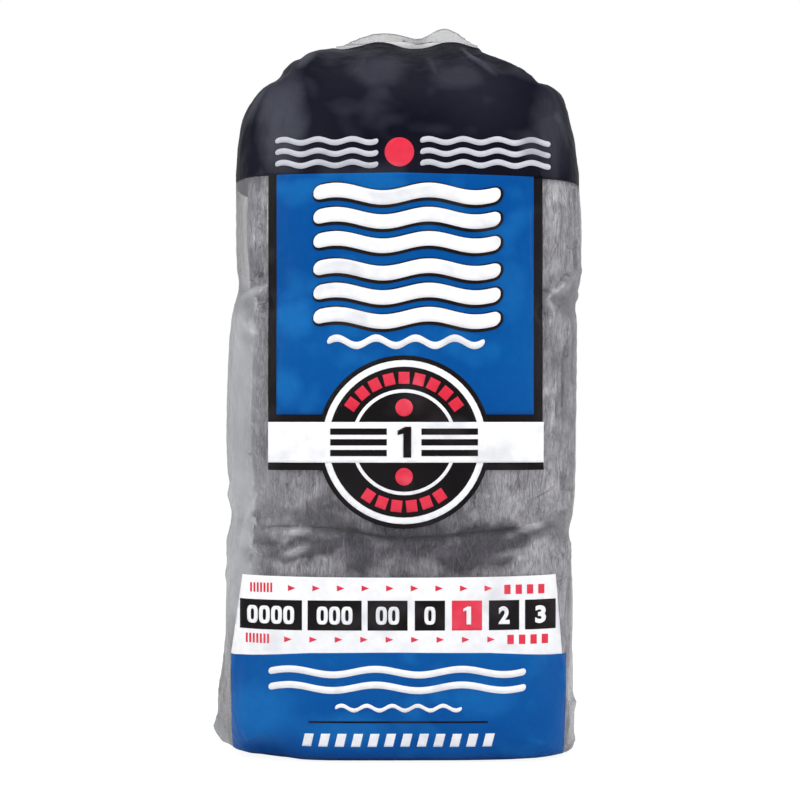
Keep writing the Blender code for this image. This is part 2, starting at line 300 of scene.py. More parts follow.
def film_material():
    """Blown polyethylene film, thin, clear and a little milky, and glossy with soft crinkles.

    It is milkier where it stands off the wool and along its folds, which the attributes lift and fold tell,
    where it is seen along its surface, and where it is folded double. Its colour is lighter where it stands
    off the wool and along its folds. Along the folds the lighter colour is partly the film's whitening and
    partly a painted highlight. It is darker where it is folded double, which is painted shade."""
    made, tree = new_material("blown_polyethylene_film")
    lift = add_node(tree, "ShaderNodeAttribute", output="Fac", attribute_name="lift")
    fold = add_node(tree, "ShaderNodeAttribute", output="Fac", attribute_name="fold")
    rim = add_node(tree, "ShaderNodeLayerWeight", {"Blend": 0.35}, "Facing")
    doubled_shaded = patches(tree, DOUBLED_SHADED_FILM, 2.0)
    milk = ((lift, 0.5), (clouds(tree), 0.16), (fold, 0.42), (rim, 0.62), (doubled_shaded, 0.5))
    # Lighter where the film stands off the wool and along its folds, where the lighter colour is partly the
    # film's whitening and partly a painted highlight
    raised = add_node(tree, "ShaderNodeMath", {0: fold, 1: lift}, operation="MAXIMUM")
    bright = {0: raised, COLOUR_A: colour("909096"), COLOUR_B: colour("B0B1B6")}
    bright = add_node(tree, "ShaderNodeMix", bright, COLOUR_OUT, data_type="RGBA")
    # Darker where the film is folded double, painted shade of the folds
    tone = {0: doubled_shaded, COLOUR_A: bright, COLOUR_B: colour("6A6A6F")}
    inputs = {
        "Base Color": add_node(tree, "ShaderNodeMix", tone, COLOUR_OUT, data_type="RGBA"),
        "Roughness": 0.2,
        "IOR": 1.6,
        "Alpha": weighted_sum(tree, 0.08, milk),
        "Normal": film_bump(tree, 0.5),
    }
    shader = add_node(tree, "ShaderNodeBsdfPrincipled", inputs)
    add_node(tree, "ShaderNodeOutputMaterial", {"Surface": shader})
    return made


def ink_material(name, hex_colour, sheen_shade_hex, sheen_shade_share, sheen_patches=()):
    """Flexographic ink on glossy film, with painted sheen in soft patches, in the film's clouds and on the
    film's folds, lighter on dark inks and a painted shade on white and grey ones.
    """
    made, tree = new_material(name)
    # Painted sheen: the ink turns to its sheen colour along the film's folds, in the film's clouds and in
    # listed patches, lighter on dark inks and a painted shade on white and grey ones
    sheen_shade_mask = add_node(tree, "ShaderNodeAttribute", output="Fac", attribute_name="fold")
    cloud_sheen_shade = {0: clouds(tree), 1: sheen_shade_share}
    cloud_sheen_shade = add_node(tree, "ShaderNodeMath", cloud_sheen_shade, operation="MULTIPLY")
    for share in (cloud_sheen_shade, patches(tree, sheen_patches)):
        both = {0: sheen_shade_mask, 1: share}
        sheen_shade_mask = add_node(tree, "ShaderNodeMath", both, operation="MAXIMUM", use_clamp=True)
    grain = pattern(tree, 2.5, 0.3, 0.7, 0.95, 1.04, detail=4.0)
    grey = add_node(tree, "ShaderNodeCombineColor", {0: grain, 1: grain, 2: grain})
    tone = {0: sheen_shade_mask, COLOUR_A: colour(hex_colour), COLOUR_B: colour(sheen_shade_hex)}
    tone = add_node(tree, "ShaderNodeMix", tone, COLOUR_OUT, data_type="RGBA")
    grained = {0: 1.0, COLOUR_A: tone, COLOUR_B: grey}
    inputs = {
        "Base Color": add_node(
            tree, "ShaderNodeMix", grained, COLOUR_OUT, data_type="RGBA", blend_type="MULTIPLY"
        ),
        "Roughness": 0.38,
        "IOR": 1.4,
        "Specular IOR Level": 0.1,
        "Normal": film_bump(tree, 0.2),
    }
    shader = add_node(tree, "ShaderNodeBsdfPrincipled", inputs)
    add_node(tree, "ShaderNodeOutputMaterial", {"Surface": shader})
    return made


def wool_material():
    """Combed low-carbon steel wool: dull grey fibres that run one way, with brighter and darker bundles.

    The fibres are drawn at 0.45 mm, some five times their real width, so that they show. The wool is darker
    at the lower seam between the pads and in other listed patches, which is painted shade. It is paler in a
    few patches, which is painted light, and mottled all over."""
    made, tree = new_material("combed_steel_wool")
    fibre = pattern(tree, 0.45, 0.34, 0.66, rough=0.7, twist=0.8, stretch=(1.0, 1.0, 6.0))
    bundle = pattern(tree, 1.9, 0.36, 0.64, twist=1.0, stretch=(1.0, 1.0, 3.0), offset=(5.0, 2.0, 1.0))
    mottle = pattern(tree, 7, 0.38, 0.62, detail=4.0, twist=0.4, offset=(2.0, 7.0, 3.0))
    tone = pattern(tree, 18, 0.40, 0.64, detail=2.0, stretch=(1.0, 1.0, 0.8), offset=(0.0, 4.0, 9.0))
    share = weighted_sum(tree, 0.0, ((fibre, 0.5), (bundle, 0.22), (mottle, 0.28)))
    share = add_node(tree, "ShaderNodeMapRange", {"Value": share, "From Min": 0.17, "From Max": 0.83})
    # Painted shade and painted light from the patches, with tone and mottle that vary at random, move the
    # wool towards its darker colours
    depth = ((patches(tree, WOOL_SHADE_AND_LIGHT_PATCHES, 7.0), 1.0), (tone, 0.42), (mottle, -0.22))
    depth = weighted_sum(tree, 0.1, depth)
    # A lighter pair of colours for the fibres, and a darker pair for painted shade and darker tone
    colours = [
        add_node(
            tree, "ShaderNodeMix", {0: share, COLOUR_A: low, COLOUR_B: high}, COLOUR_OUT, data_type="RGBA"
        )
        for low, high in ((colour("848288"), colour("D4D2D8")), (colour("120F17"), colour("5C5763")))
    ]
    tones = {0: depth, COLOUR_A: colours[0], COLOUR_B: colours[1]}
    relief = {"Height": share, "Distance": 0.18 * MM, "Strength": 0.9}
    inputs = {
        "Base Color": add_node(tree, "ShaderNodeMix", tones, COLOUR_OUT, data_type="RGBA"),
        "Metallic": 0.55,
        "Roughness": 0.5,
        "Normal": add_node(tree, "ShaderNodeBump", relief),
    }
    shader = add_node(tree, "ShaderNodeBsdfPrincipled", inputs)
    add_node(tree, "ShaderNodeOutputMaterial", {"Surface": shader})
    return made


def strand_material():
    """Drawn steel fibre, cleaner and brighter than the mass of the wool."""
    made, tree = new_material("steel_fibre")
    tone = {0: pattern(tree, 3, 0.35, 0.65, detail=2.0), COLOUR_A: colour("48464D")}
    tone[COLOUR_B] = colour("A09EA5")
    tone = add_node(tree, "ShaderNodeMix", tone, COLOUR_OUT, data_type="RGBA")
    inputs = {"Base Color": tone, "Metallic": 0.7, "Roughness": 0.42}
    shader = add_node(tree, "ShaderNodeBsdfPrincipled", inputs)
    add_node(tree, "ShaderNodeOutputMaterial", {"Surface": shader})
    return made


def finish_piece(name, bm, made_material):
    """A bmesh as a named object that rides with the pack."""
    mesh = bpy.data.meshes.new(name)
    bm.to_mesh(mesh)
    bm.free()
    made = bpy.data.objects.new(name, mesh)
    bpy.context.scene.collection.objects.link(made)
    mesh.materials.append(made_material)
    mesh.shade_smooth()
    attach(made, BODY)
    return made


def solid_copy(node):
    """A CAD node's mesh with its loose triangles merged and paired."""
    bm = bmesh.new()
    bm.from_mesh(frame["nodes"][node].data)
    bmesh.ops.remove_doubles(bm, verts=bm.verts, dist=0.005 * MM)
    bmesh.ops.join_triangles(
        bm, faces=bm.faces, angle_face_threshold=math.radians(50), angle_shape_threshold=math.radians(60)
    )
    return bm


def read_evaluated(data, bm=None, turns=0):
    """Reads into a bmesh what Blender makes of a curve, of a text, or of a mesh rounded in some turns."""
    holder = bpy.data.objects.new(data.name, data)
    bpy.context.scene.collection.objects.link(holder)
    if turns:
        rounding = holder.modifiers.new("rounded", "SUBSURF")
        rounding.levels = rounding.render_levels = turns
    evaluated = holder.evaluated_get(bpy.context.evaluated_depsgraph_get())
    bm = bm or bmesh.new()
    bm.from_mesh(evaluated.to_mesh())
    evaluated.to_mesh_clear()
    bpy.data.objects.remove(holder)
    kind = bpy.data.meshes if isinstance(data, bpy.types.Mesh) else bpy.data.curves
    kind.remove(data)
    return bm


def rounded(bm, turns, sharp=math.pi, hold=0.0):
    """The bmesh after Catmull-Clark subdivisions, in which edges sharper than an angle hold a share."""
    bm.normal_update()
    crease = bm.edges.layers.float.new("crease_edge")
    for edge in bm.edges:
        if len(edge.link_faces) == 2 and edge.calc_face_angle() > sharp:
            edge[crease] = hold
    mesh = bpy.data.meshes.new("rounded")
    bm.to_mesh(mesh)
    bm.free()
    return read_evaluated(mesh, turns=turns)


def shorten_edges(bm, longest, rounds=3):
    """Splits the edges that are longer than a length in two, until few are left."""
    for _ in range(rounds):
        long_edges = [edge for edge in bm.edges if edge.calc_length() > longest]
        if not long_edges:
            break
        bmesh.ops.subdivide_edges(bm, edges=long_edges, cuts=1, use_grid_fill=True)


def seal_wave(x):
    """How far the root of the seal lies above its mean height."""
    return SEAL_WAVE * math.cos(math.tau * (x / SEAL_WAVE_LENGTH + SEAL_WAVE_SHIFT))


SEAL_SEARCH = 12 * MM  # how far below the top the faces lie that close the seal's two walls
SEAL_FACING = 0.55  # how far up those faces look at least


def outer_skin():
    """The outside of the solid bag, closed across the top of its seal."""
    bm = solid_copy("bag")
    bm.normal_update()
    top = max(vert.co.z for vert in bm.verts)
    rim = set()
    for face in bm.faces:
        middle = face.calc_center_median()
        near_seal = abs(middle.y) < SEAL_THICKNESS / 2 and middle.z > top - SEAL_SEARCH
        if near_seal and face.normal.z > SEAL_FACING:
            rim.add(face)
    lowest = min(bm.verts, key=lambda vert: vert.co.z)
    kept, edge_of_search = set(lowest.link_faces), list(lowest.link_faces)
    while edge_of_search:
        face = edge_of_search.pop()
        for edge in face.edges:
            for other in edge.link_faces:
                if other not in kept and other not in rim:
                    kept.add(other)
                    edge_of_search.append(other)
    bmesh.ops.delete(bm, geom=[face for face in bm.faces if face not in kept], context="FACES")
    open_edges = [edge for edge in bm.edges if edge.is_boundary]
    bmesh.ops.holes_fill(bm, edges=open_edges, sides=0)
    return bm


# Creases that the front shows, in mm: x and z of both ends, width and height, or depth where negative
FRONT_CREASES = (
    (-37, 73.5, -26, 75.5, 2.0, 1.1),
    (-38, 66, -26, 71, 1.8, 0.9),
    (-47, 71, -36, 70.5, 1.6, -0.8),
    (-44, 86, -49, 76, 2.2, 0.7),
    (-52, 95, -54, 84, 1.8, 0.6),
    (31, 71, 49, 79, 1.8, 1.0),
    (27, 66, 46, 70, 1.8, 0.7),
    (36, 74, 48, 73, 1.6, -0.7),
    (45, 86, 52, 83, 1.6, 0.6),
    (-52, 147, -40, 154, 2.2, 1.0),
    (-50, 143, -43, 136, 1.8, 0.6),
    (-43, 150, -40, 144, 2.0, -0.8),
    (47, 150, 57, 156, 1.8, 1.0),
    (50, 144, 47, 150, 1.4, 0.8),
    (48, 140, 50, 144, 1.4, 0.6),
    (46, 147, 48, 142, 2.2, -0.8),
    (-38, 221, -48, 199, 2.0, 0.8),
    (-42, 217, -51, 194, 1.6, 0.5),
    (-33, 222, -26, 231, 2.0, 0.9),
    (49, 215, 54, 196, 2.0, 0.7),
    (40, 205, 52, 208, 1.8, 0.5),
    (21, 233, 27, 226, 1.6, 1.0),
    (24, 229, 34, 219, 2.2, 0.7),
    (-8, 231, -14, 217, 2.0, 0.6),
    (9, 231, 15, 214, 2.0, 0.6),
    (-49, 46, -54, 20, 2.0, 0.6),
    (52, 40, 55, 14, 2.0, 0.6),
    (-40, 12, -51, 6, 2.0, 0.7),
    (38, 10, 51, 6, 2.0, 0.6),
)
SEAL_PEAKS = ((-5.3, 7.0, -0.8), (7.0, 3.5, -1.2), (15.9, 4.5, 1.4))  # middle, width and rise in mm
# Dents of the shoulders: side, middle height, half height and depth in mm
DENTS = ((1, 227.5, 6.0, 6.8), (-1, 222.8, 4.0, 1.2), (-1, 232.5, 3.0, 1.6))
# Where the film is tucked in at the front of the foot: middle, half width and depth in mm
TUCK_X, TUCK_WIDTH, TUCK_DEPTH = -42.0, 10.0, 6.0
TIER_SEAMS = (75.9 * MM, 150.9 * MM)
FOOT_TOP = 22 * MM
TENT_FOOT = 204 * MM
CREASE_DEPTH = 8 * MM  # how far through the pack a crease is felt
FOLD_START, FOLD_FULL = 0.15 * MM, 0.9 * MM  # heights from which and at which film counts as folded

# Creases scattered over the sides, the back and the foot: how many, and the seams that they start near
SIDE_CREASES = 64
CREASE_SEAMS = (*TIER_SEAMS, 8 * MM, 215 * MM)
CREASE_SPREAD = 9 * MM
CREASE_LOW, CREASE_HIGH = 3 * MM, 226 * MM
CREASE_LENGTHS, CREASE_WIDTHS, CREASE_RISES = (12, 30), (1.5, 2.4), (0.4, 0.95)  # least and most, in mm
PACK_RADIUS = 48 * MM

# Waves and crinkles of the film, and how far from a seam and up the crown it is crinkled more
SWELL_SIZE, CRINKLE_SIZE = 17 * MM, 5.5 * MM
SEAM_REACH, TENT_REACH = 10 * MM, 20 * MM

# Ripples along the seal: their height, their size and the size of the beat in which they come and go
RIPPLE, RIPPLE_SIZE, RIPPLE_BEAT = 0.7 * MM, 1.35 * MM, 7.3 * MM


def coordinates_of(bm, layer="co"):
    return np.array([getattr(vert, layer) for vert in bm.verts])


def straight_step(value, low, high):
    return min(max((value - low) / (high - low), 0.0), 1.0)


def smooth_step(value, low, high):
    share = np.clip((value - low) / (high - low), 0.0, 1.0)
    return share * share * (3 - 2 * share)


def crease_heights(places, normals, start, end, width, height):
    """A ridge along a line that fades at its ends, with a shallow valley beside it."""
    line = np.array(end) - np.array(start)
    length = np.linalg.norm(line)
    away = places - np.array(start)
    share = np.clip(away @ line / length**2, 0.0, 1.0)
    offset = away - share[:, None] * line
    out = np.sum(offset * normals, axis=1)
    flat = offset - out[:, None] * normals
    distance = np.linalg.norm(flat, axis=1)
    side = np.sign(np.sum(np.cross(normals, line / length) * flat, axis=1))
    ridge = np.exp(-((distance / width) ** 2))
    valley = 0.45 * np.exp(-(((side * distance - 1.8 * width) / (1.2 * width)) ** 2))
    near = (np.abs(out) < CREASE_DEPTH) & (distance < 5 * width)
    return np.where(near, height * (ridge - valley) * np.sin(np.pi * share) ** 0.7, 0.0)


def film_height(places, normals, sizes):
    """How far each place of the film is raised: soft waves, crinkles and creases."""
    swell = np.array([noise.noise(Vector(place) / SWELL_SIZE) for place in places])
    fine = np.array([noise.noise(Vector(place) / CRINKLE_SIZE) for place in places])
    crinkles = np.clip(1 - 3 * np.abs(fine), 0, 1) ** 2
    z = places[:, 2]
    seams = sum(np.exp(-(((z - seam) / SEAM_REACH) ** 2)) for seam in TIER_SEAMS)
    ends = 1 - smooth_step(z, 0, FOOT_TOP) + smooth_step(z, TENT_FOOT, TENT_FOOT + TENT_REACH)
    sideways = smooth_step(np.abs(normals[:, 0]), 0.35, 0.9)
    busy = np.clip(0.15 + 0.6 * seams + 0.6 * ends + 0.6 * sideways, 0, 1)
    height = sizes.swell * (swell + 0.25) + sizes.crinkle * crinkles * busy
    for side, middle, half, depth in DENTS:
        facing = smooth_step(side * normals[:, 0], 0.1, 0.5)
        height -= depth * MM * facing * np.exp(-(((z / MM - middle) / half) ** 2))
    return height


def scattered_creases(bm, count):
    """Ends, width and height of creases on the sides, the back and the foot, near the seams."""
    chance = random.Random(7)
    skin = BVHTree.FromBMesh(bm)
    creases = []
    while len(creases) < count:
        z = chance.choice(CREASE_SEAMS) + chance.gauss(0, CREASE_SPREAD)
        angle = chance.uniform(-0.25, math.pi + 0.25)
        length = chance.uniform(*CREASE_LENGTHS) * MM
        tilt = chance.gauss(0, 0.5)
        ends = []
        for reach in (-0.5, 0.5):
            turn = angle + reach * length * math.cos(tilt) / PACK_RADIUS
            height = min(max(z + reach * length * math.sin(tilt), CREASE_LOW), CREASE_HIGH)
            outside = Vector((OUTSIDE * math.cos(turn), OUTSIDE * math.sin(turn), height))
            hit = skin.ray_cast(outside, Vector((-outside.x, -outside.y, 0)).normalized())[0]
            ends.append(hit)
        if all(ends):
            width = chance.uniform(*CREASE_WIDTHS) * MM
            creases.append((*ends, width, chance.uniform(*CREASE_RISES) * MM))
    return creases


def crease_film(bm, sizes):
    """Raises the film by its waves and creases, and thins its seal to its real wall."""
    bm.normal_update()
    places, normals = coordinates_of(bm), coordinates_of(bm, "normal")
    skin = BVHTree.FromBMesh(bm)
    height = np.zeros(len(places))
    for x0, z0, x1, z1, width, rise in FRONT_CREASES:
        ends = [
            skin.ray_cast(Vector((x * MM, -OUTSIDE, z * MM)), Vector((0, 1, 0)))[0]
            for x, z in ((x0, z0), (x1, z1))
        ]
        height += crease_heights(places, normals, *ends, width * MM, rise * MM)
    for crease in scattered_creases(bm, SIDE_CREASES):
        height += crease_heights(places, normals, *crease)
    fold = bm.verts.layers.float.new("fold")
    for vert, share in zip(bm.verts, smooth_step(height, FOLD_START, FOLD_FULL)):
        vert[fold] = share
    height += film_height(places, normals, sizes)
    x, z = places[:, 0], places[:, 2]
    root = SEAL_ROOT + np.array([seal_wave(each) for each in x])
    seal = smooth_step(z, root - 3 * MM, root + 0.5 * MM)
    seal_share = smooth_step(z, root - 0.5 * MM, root + 2.5 * MM)
    standing = smooth_step(z, 0.0, 3 * MM)
    height *= (1 - seal) * standing
    moved = places + normals * height[:, None]
    wall = sizes.seal_wall / SEAL_THICKNESS
    moved[:, 1] *= 1 - seal * (1 - wall)
    moved[:, 1] += seal * RIPPLE * np.sin(x / RIPPLE_SIZE) * np.sin(x / RIPPLE_BEAT + 0.7)
    corner = np.exp(-(((x / MM - TUCK_X) / TUCK_WIDTH) ** 2)) * (1 - smooth_step(z, 3 * MM, 12 * MM))
    moved[:, 1] += TUCK_DEPTH * MM * corner * (1 - smooth_step(places[:, 1], -18 * MM, -4 * MM))
    flat_foot = places[:, 2] < 0.05 * MM
    moved[flat_foot, 2] = 0.0
    moved[:, 2] = np.maximum(moved[:, 2], 0.0)
    for middle, width, rise in SEAL_PEAKS:
        moved[:, 2] += seal_share * rise * MM * np.exp(-(((x / MM - middle) / width) ** 2))
    for vert, place in zip(bm.verts, moved):
        vert.co = place


class WOOLPACK_OT_film(bpy.types.Operator):
    """Model the clear film with its waves, creases and seal"""

    bl_idname = "woolpack.film"
    bl_label = "Film"

    def execute(self, context):
        sizes = context.scene.wool_pack_film
        bm = rounded(outer_skin(), 2, math.radians(32), 0.75)
        shorten_edges(bm, sizes.facet)
        crease_film(bm, sizes)
        bmesh.ops.triangulate(bm, faces=bm.faces)
        made = finish_piece("film", bm, film_material())
        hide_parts("bag")
        return {"FINISHED"}


LAP_RISE = 0.2 * MM  # how far the lap down the back stands off the film
LAP_MILK = 0.45  # how milky the lap's two layers are
LAP_MARGIN = 2 * MM  # how far past the lap's edge the ink over it is raised
LAP_FOOT, LAP_TOP = 3 * MM, SEAL_ROOT - 4 * MM
BACK = 5 * MM  # film behind this is its back


class WOOLPACK_OT_lap(bpy.types.Operator):
    """Model the lap down the back, where the tube of film is welded"""

    bl_idname = "woolpack.lap"
    bl_label = "Lap seam"

    def execute(self, context):
        half = context.scene.wool_pack_film.lap / 2

        def behind(middles):
            return (np.abs(middles[:, 0]) < half + CUT_SLACK) & (middles[:, 1] > BACK)

        bm = film_piece(behind, LAP_RISE)
        for side in (-1, 1):
            cut_away(bm, Vector((side * half, 0, 0)), Vector((side, 0, 0)))
        cut_away(bm, Vector((0, 0, LAP_TOP)), Vector((0, 0, 1)))
        cut_away(bm, Vector((0, 0, LAP_FOOT)), Vector((0, 0, -1)))
        fold = bm.verts.layers.float["fold"]
        for vert in bm.verts:
            vert[fold] = max(vert[fold], LAP_MILK)
        thicken(bm, LAP_RISE / 2)
        finish_piece("film_lap", bm, bpy.data.materials["blown_polyethylene_film"])
        return {"FINISHED"}


def surface_of(mesh):
    """A mesh's surface, for finding places on it."""
    faces = [face.vertices for face in mesh.polygons]
    return BVHTree.FromPolygons([vert.co for vert in mesh.vertices], faces)


def slice_through(bm, axis, step, ends_only=False):
    """Cuts a bmesh, or only its faces that look along x, by evenly spaced planes across one axis."""
    bm.normal_update()
    places = coordinates_of(bm)[:, axis]
    normal = Vector((0, 0, 0))
    normal[axis] = 1.0
    faces = [face for face in bm.faces if not ends_only or abs(face.normal.x) > 0.6]
    edges = {edge for face in faces for edge in face.edges}
    verts = {vert for face in faces for vert in face.verts}
    geometry = [*verts, *edges, *faces]
    for k in range(math.ceil(places.min() / step), math.floor(places.max() / step) + 1):
        geometry = bmesh.ops.bisect_plane(
            bm, geom=geometry, dist=CUT_MERGE, plane_co=normal * (k * step), plane_no=normal
        )["geom"]


# Joints between pads: how wide a gap is closed, what is left, and length and height of their waves
JOINT_REACH = 9 * MM
JOINT_GAP = 0.06 * MM
JOINT_WAVE = 24 * MM
JOINT_SWAY = 4.5 * MM
JOINT_STEP = 3.7  # from one joint's waves to the next one's, in wavelengths
JOINTS_PER_AXIS = 7


def press_pads(bm, tier, row):
    """Spreads a pad till it all but meets its neighbours, along wavy joints that can't be seen through."""
    neighbours = []
    for axis, step, other in (
        (1, -1, (tier, row - 1)),
        (1, 1, (tier, row + 1)),
        (2, -1, (tier - 1, row)),
        (2, 1, (tier + 1, row)),
    ):
        if 0 <= other[0] < len(TIERS) and 0 <= other[1] < PADS_DEEP:
            surface = surface_of(frame["nodes"][f"pad_{TIERS[other[0]]}_{other[1] + 1}"].data)
            joint = JOINTS_PER_AXIS * axis + tier + other[0] + row + other[1]
            neighbours.append((axis, step, surface, joint))
    bm.normal_update()
    moves = []
    for vert in bm.verts:
        move = Vector((0, 0, 0))
        for axis, step, surface, joint in neighbours:
            facing = straight_step(step * vert.normal[axis], 0.15, 0.65)
            if facing > 0:
                direction = Vector((0, 0, 0))
                direction[axis] = step
                gap = surface.ray_cast(vert.co, direction, JOINT_REACH)[3]
                if gap is not None:
                    place = vert.co / JOINT_WAVE
                    place[axis] = joint * JOINT_STEP
                    wave = JOINT_SWAY * noise.noise(place)
                    move[axis] += facing * (step * (gap / 2 - JOINT_GAP / 2) + wave)
        moves.append(move)
    for vert, move in zip(bm.verts, moves):
        vert.co += move


COMB_STRETCH = 14  # how many times its width a combed bundle of fibres is long
CLUMP_WIDTH, CLUMP_LENGTH = 9 * MM, 22 * MM
PAD_SHIFT = (3.1, 1.7, 2.3)  # from one pad's pattern to the next one's, so that no two are alike
FILL_REACH = 45 * MM  # where, to the right, a pad fills out in full
FILM_REACH = 12 * MM  # how far outside the film wool may lie and still be drawn back into it
CROWN_ROOM = 1.3 * MM  # more room under the crown, whose dents are deep
CROWN_RISE = 8 * MM  # height over which that room grows


def dress_pad(bm, sizes, film, number):
    """Combs a pad's wool in bundles, shows its turns at the ends, fills it out and keeps it in the film."""
    tier, row = divmod(number, PADS_DEEP)
    press_pads(bm, tier, row)
    bm.normal_update()
    shift = Vector([number * step for step in PAD_SHIFT])
    places = coordinates_of(bm)
    low, high = places.min(axis=0), places.max(axis=0)
    moves = []
    for vert in bm.verts:
        x, y, z = vert.co
        combed = Vector((x / sizes.ridge, y / sizes.ridge, z / (COMB_STRETCH * sizes.ridge))) + shift
        clump = Vector((x / CLUMP_WIDTH, y / CLUMP_WIDTH, z / CLUMP_LENGTH)) + shift
        depth = sizes.relief * (0.5 - noise.noise(combed)) + 2 * sizes.relief * (0.3 - noise.noise(clump))
        end = straight_step(abs(vert.normal.x), 0.48, 0.88)
        inset = min(y - low[1], high[1] - y, z - low[2], high[2] - z)
        furrow = max(math.cos(math.tau * inset / sizes.turn), 0.0) ** 3 * min(inset / sizes.turn, 1.0)
        depth = max(depth * (1 + 1.5 * end), 0.0) + end * sizes.groove * furrow
        inner_y = (vert.normal.y > 0.5 and row < PADS_DEEP - 1) or (vert.normal.y < -0.5 and row > 0)
        inner_z = (vert.normal.z > 0.7 and tier < len(TIERS) - 1) or (vert.normal.z < -0.7 and tier > 0)
        if inner_y or inner_z:
            depth = 0.0
        fill = sizes.fill * straight_step(x, 0.0, FILL_REACH) ** 2
        moves.append(vert.co - vert.normal * depth + Vector((fill, 0, 0)))
    for vert, place in zip(bm.verts, moves):
        room = sizes.room + CROWN_ROOM * straight_step(place.z, TENT_FOOT, TENT_FOOT + CROWN_RISE)
        for _ in range(2):
            near, outward, _, distance = film.find_nearest(place)
            depth = (near - place).dot(outward)
            if distance < FILM_REACH and depth < room:
                place = place - outward * (room - depth)
        vert.co = place


class WOOLPACK_OT_pads(bpy.types.Operator):
    """Model the rolled pads of combed steel wool"""

    bl_idname = "woolpack.pads"
    bl_label = "Pads"

    def execute(self, context):
        sizes = context.scene.wool_pack_wool
        film = surface_of(bpy.data.objects["film"].data)
        wool = wool_material()
        for number, (tier, row) in enumerate((tier, row) for tier in TIERS for row in range(PADS_DEEP)):
            node = f"pad_{tier}_{row + 1}"
            outermost = row in (0, PADS_DEEP - 1)
            bm = rounded(solid_copy(node), 1)
            slice_through(bm, 0, sizes.ridge * (0.5 if outermost else 2.5))
            slice_through(bm, 2, 5 * MM)
            if tier == "top":
                slice_through(bm, 1, 2.5 * MM)
            for axis in (1, 2):
                slice_through(bm, axis, sizes.turn / 3, ends_only=True)
            dress_pad(bm, sizes, film, number)
            bmesh.ops.triangulate(bm, faces=bm.faces)
            made = finish_piece(f"wool_{tier}_{row + 1}", bm, wool)
            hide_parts(node)
        mark_lift(bpy.data.objects["film"])
        return {"FINISHED"}


LIFT_START, LIFT_FULL = 2.5 * MM, 8.0 * MM  # room from which and at which the film's haze shows


def mark_lift(film):
    """Writes on the film how far it stands off the wool, from 0 to 1, for its haze."""
    places, faces = [], []
    for pad in [made for made in bpy.data.objects if made.name.startswith("wool_")]:
        first = len(places)
        places += [vert.co for vert in pad.data.vertices]
        faces += [[first + corner for corner in face.vertices] for face in pad.data.polygons]
    wool = BVHTree.FromPolygons(places, faces)
    lift = film.data.attributes.new("lift", "FLOAT", "POINT")
    room = np.array([wool.find_nearest(vert.co)[3] for vert in film.data.vertices])
    height = np.array([vert.co.z for vert in film.data.vertices])
    seal = smooth_step(height, SEAL_ROOT - 2 * MM, SEAL_ROOT + 1 * MM)
    share = smooth_step(room, LIFT_START, LIFT_FULL) * (1 - 0.9 * seal)
    lift.data.foreach_set("value", share.astype(np.float32))


STRAND_LENGTHS = (4, 20)  # least and most, in mm
STRAND_FOOT, STRAND_HEAD = 2 * MM, 6 * MM  # what strands keep free at a pad's foot and head
STRAND_STEPS = 8


class WOOLPACK_OT_fibres(bpy.types.Operator):
    """Lay loose steel fibres along the pads' faces and ends"""

    bl_idname = "woolpack.fibres"
    bl_label = "Fibres"

    def execute(self, context):
        sizes = context.scene.wool_pack_wool
        steel = strand_material()
        for tier in TIERS:
            curve = bpy.data.curves.new(f"fibres_{tier}", "CURVE")
            curve.dimensions = "3D"
            curve.bevel_depth = sizes.strand
            curve.bevel_resolution = 0
            chance = random.Random(TIERS.index(tier) + 11)
            for row in range(1, PADS_DEEP + 1):
                surface = surface_of(bpy.data.objects[f"wool_{tier}_{row}"].data)
                low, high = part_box(f"pad_{tier}_{row}")
                faces = [(0, -1), (0, 1)] + [(1, -1)] * (row == 1) + [(1, 1)] * (row == PADS_DEEP)
                for axis, side in faces:
                    count = sizes.strands if axis else sizes.strands // 6
                    for _ in range(count):
                        lay_strand(curve, surface, low, high, axis, side, chance)
            finish_piece(f"fibres_{tier}", read_evaluated(curve), steel)
        return {"FINISHED"}


def lay_strand(curve, surface, low, high, axis, side, chance):
    """One fibre that wanders up a pad's face (axis 1) or end (axis 0), lying on the wool."""
    across = 1 - axis
    at = chance.uniform(low[across], high[across])
    z = chance.uniform(low.z + STRAND_FOOT, high.z - STRAND_HEAD)
    length = chance.uniform(*STRAND_LENGTHS) * MM
    drift = chance.gauss(0, 0.16)
    bend = chance.gauss(0, 0.12)
    points = []
    for step in range(STRAND_STEPS + 1):
        share = step / STRAND_STEPS
        outside = Vector((0, 0, z + share * length))
        outside[across] = at + (drift * share + bend * math.sin(math.pi * share)) * length
        outside[axis] = side * OUTSIDE
        direction = Vector((0, 0, 0))
        direction[axis] = -side
        hit, outward, _, _ = surface.ray_cast(outside, direction)
        if hit is None:
            break
        points.append(hit + outward * chance.uniform(-0.05, 0.12) * MM)
    if len(points) > 3:
        spline = curve.splines.new("POLY")
        spline.points.add(len(points) - 1)
        for point, place in zip(spline.points, points):
            point.co = (*place, 1.0)


# Each ink's colour, its colour in painted sheen, lighter on dark inks and a painted shade on white and grey,
# and how much of the film's clouds it shows
INKS = {
    "white": ("F8F8FA", "E2E3E8", 1.0),
    "grey": ("C9CBD3", "A6A8B2", 1.0),
    "blue": ("004B95", "166AB2", 0.6),
    "navy": ("080818", "42444F", 0.4),
    "black": ("120F11", "2E2A2D", 0.8),
    "red": ("DC2840", "E8596C", 1.0),
}
BEND_WIDTH = 50.0  # half the width over which a field's bend is told, in mm
CUT_SLACK = 4 * MM  # how far past a piece's edges the film is copied before it is cut
FRONT = -8 * MM  # film in front of this is its front
SHAPE_LIFT = 0.14 * MM  # how far flat shapes stay off the film, whose facets theirs don't match
FLAT_LENGTH, FLAT_WIDTH = 1.1, 1.3  # sizes of a flat shape's faces along a strand and across, in mm


def ink(name):
    """The material of one ink, made the first time it is asked for."""
    made = bpy.data.materials.get(f"flexographic_ink_{name}")
    return made or ink_material(f"flexographic_ink_{name}", *INKS[name], INK_SHEEN_PATCHES.get(name, ()))


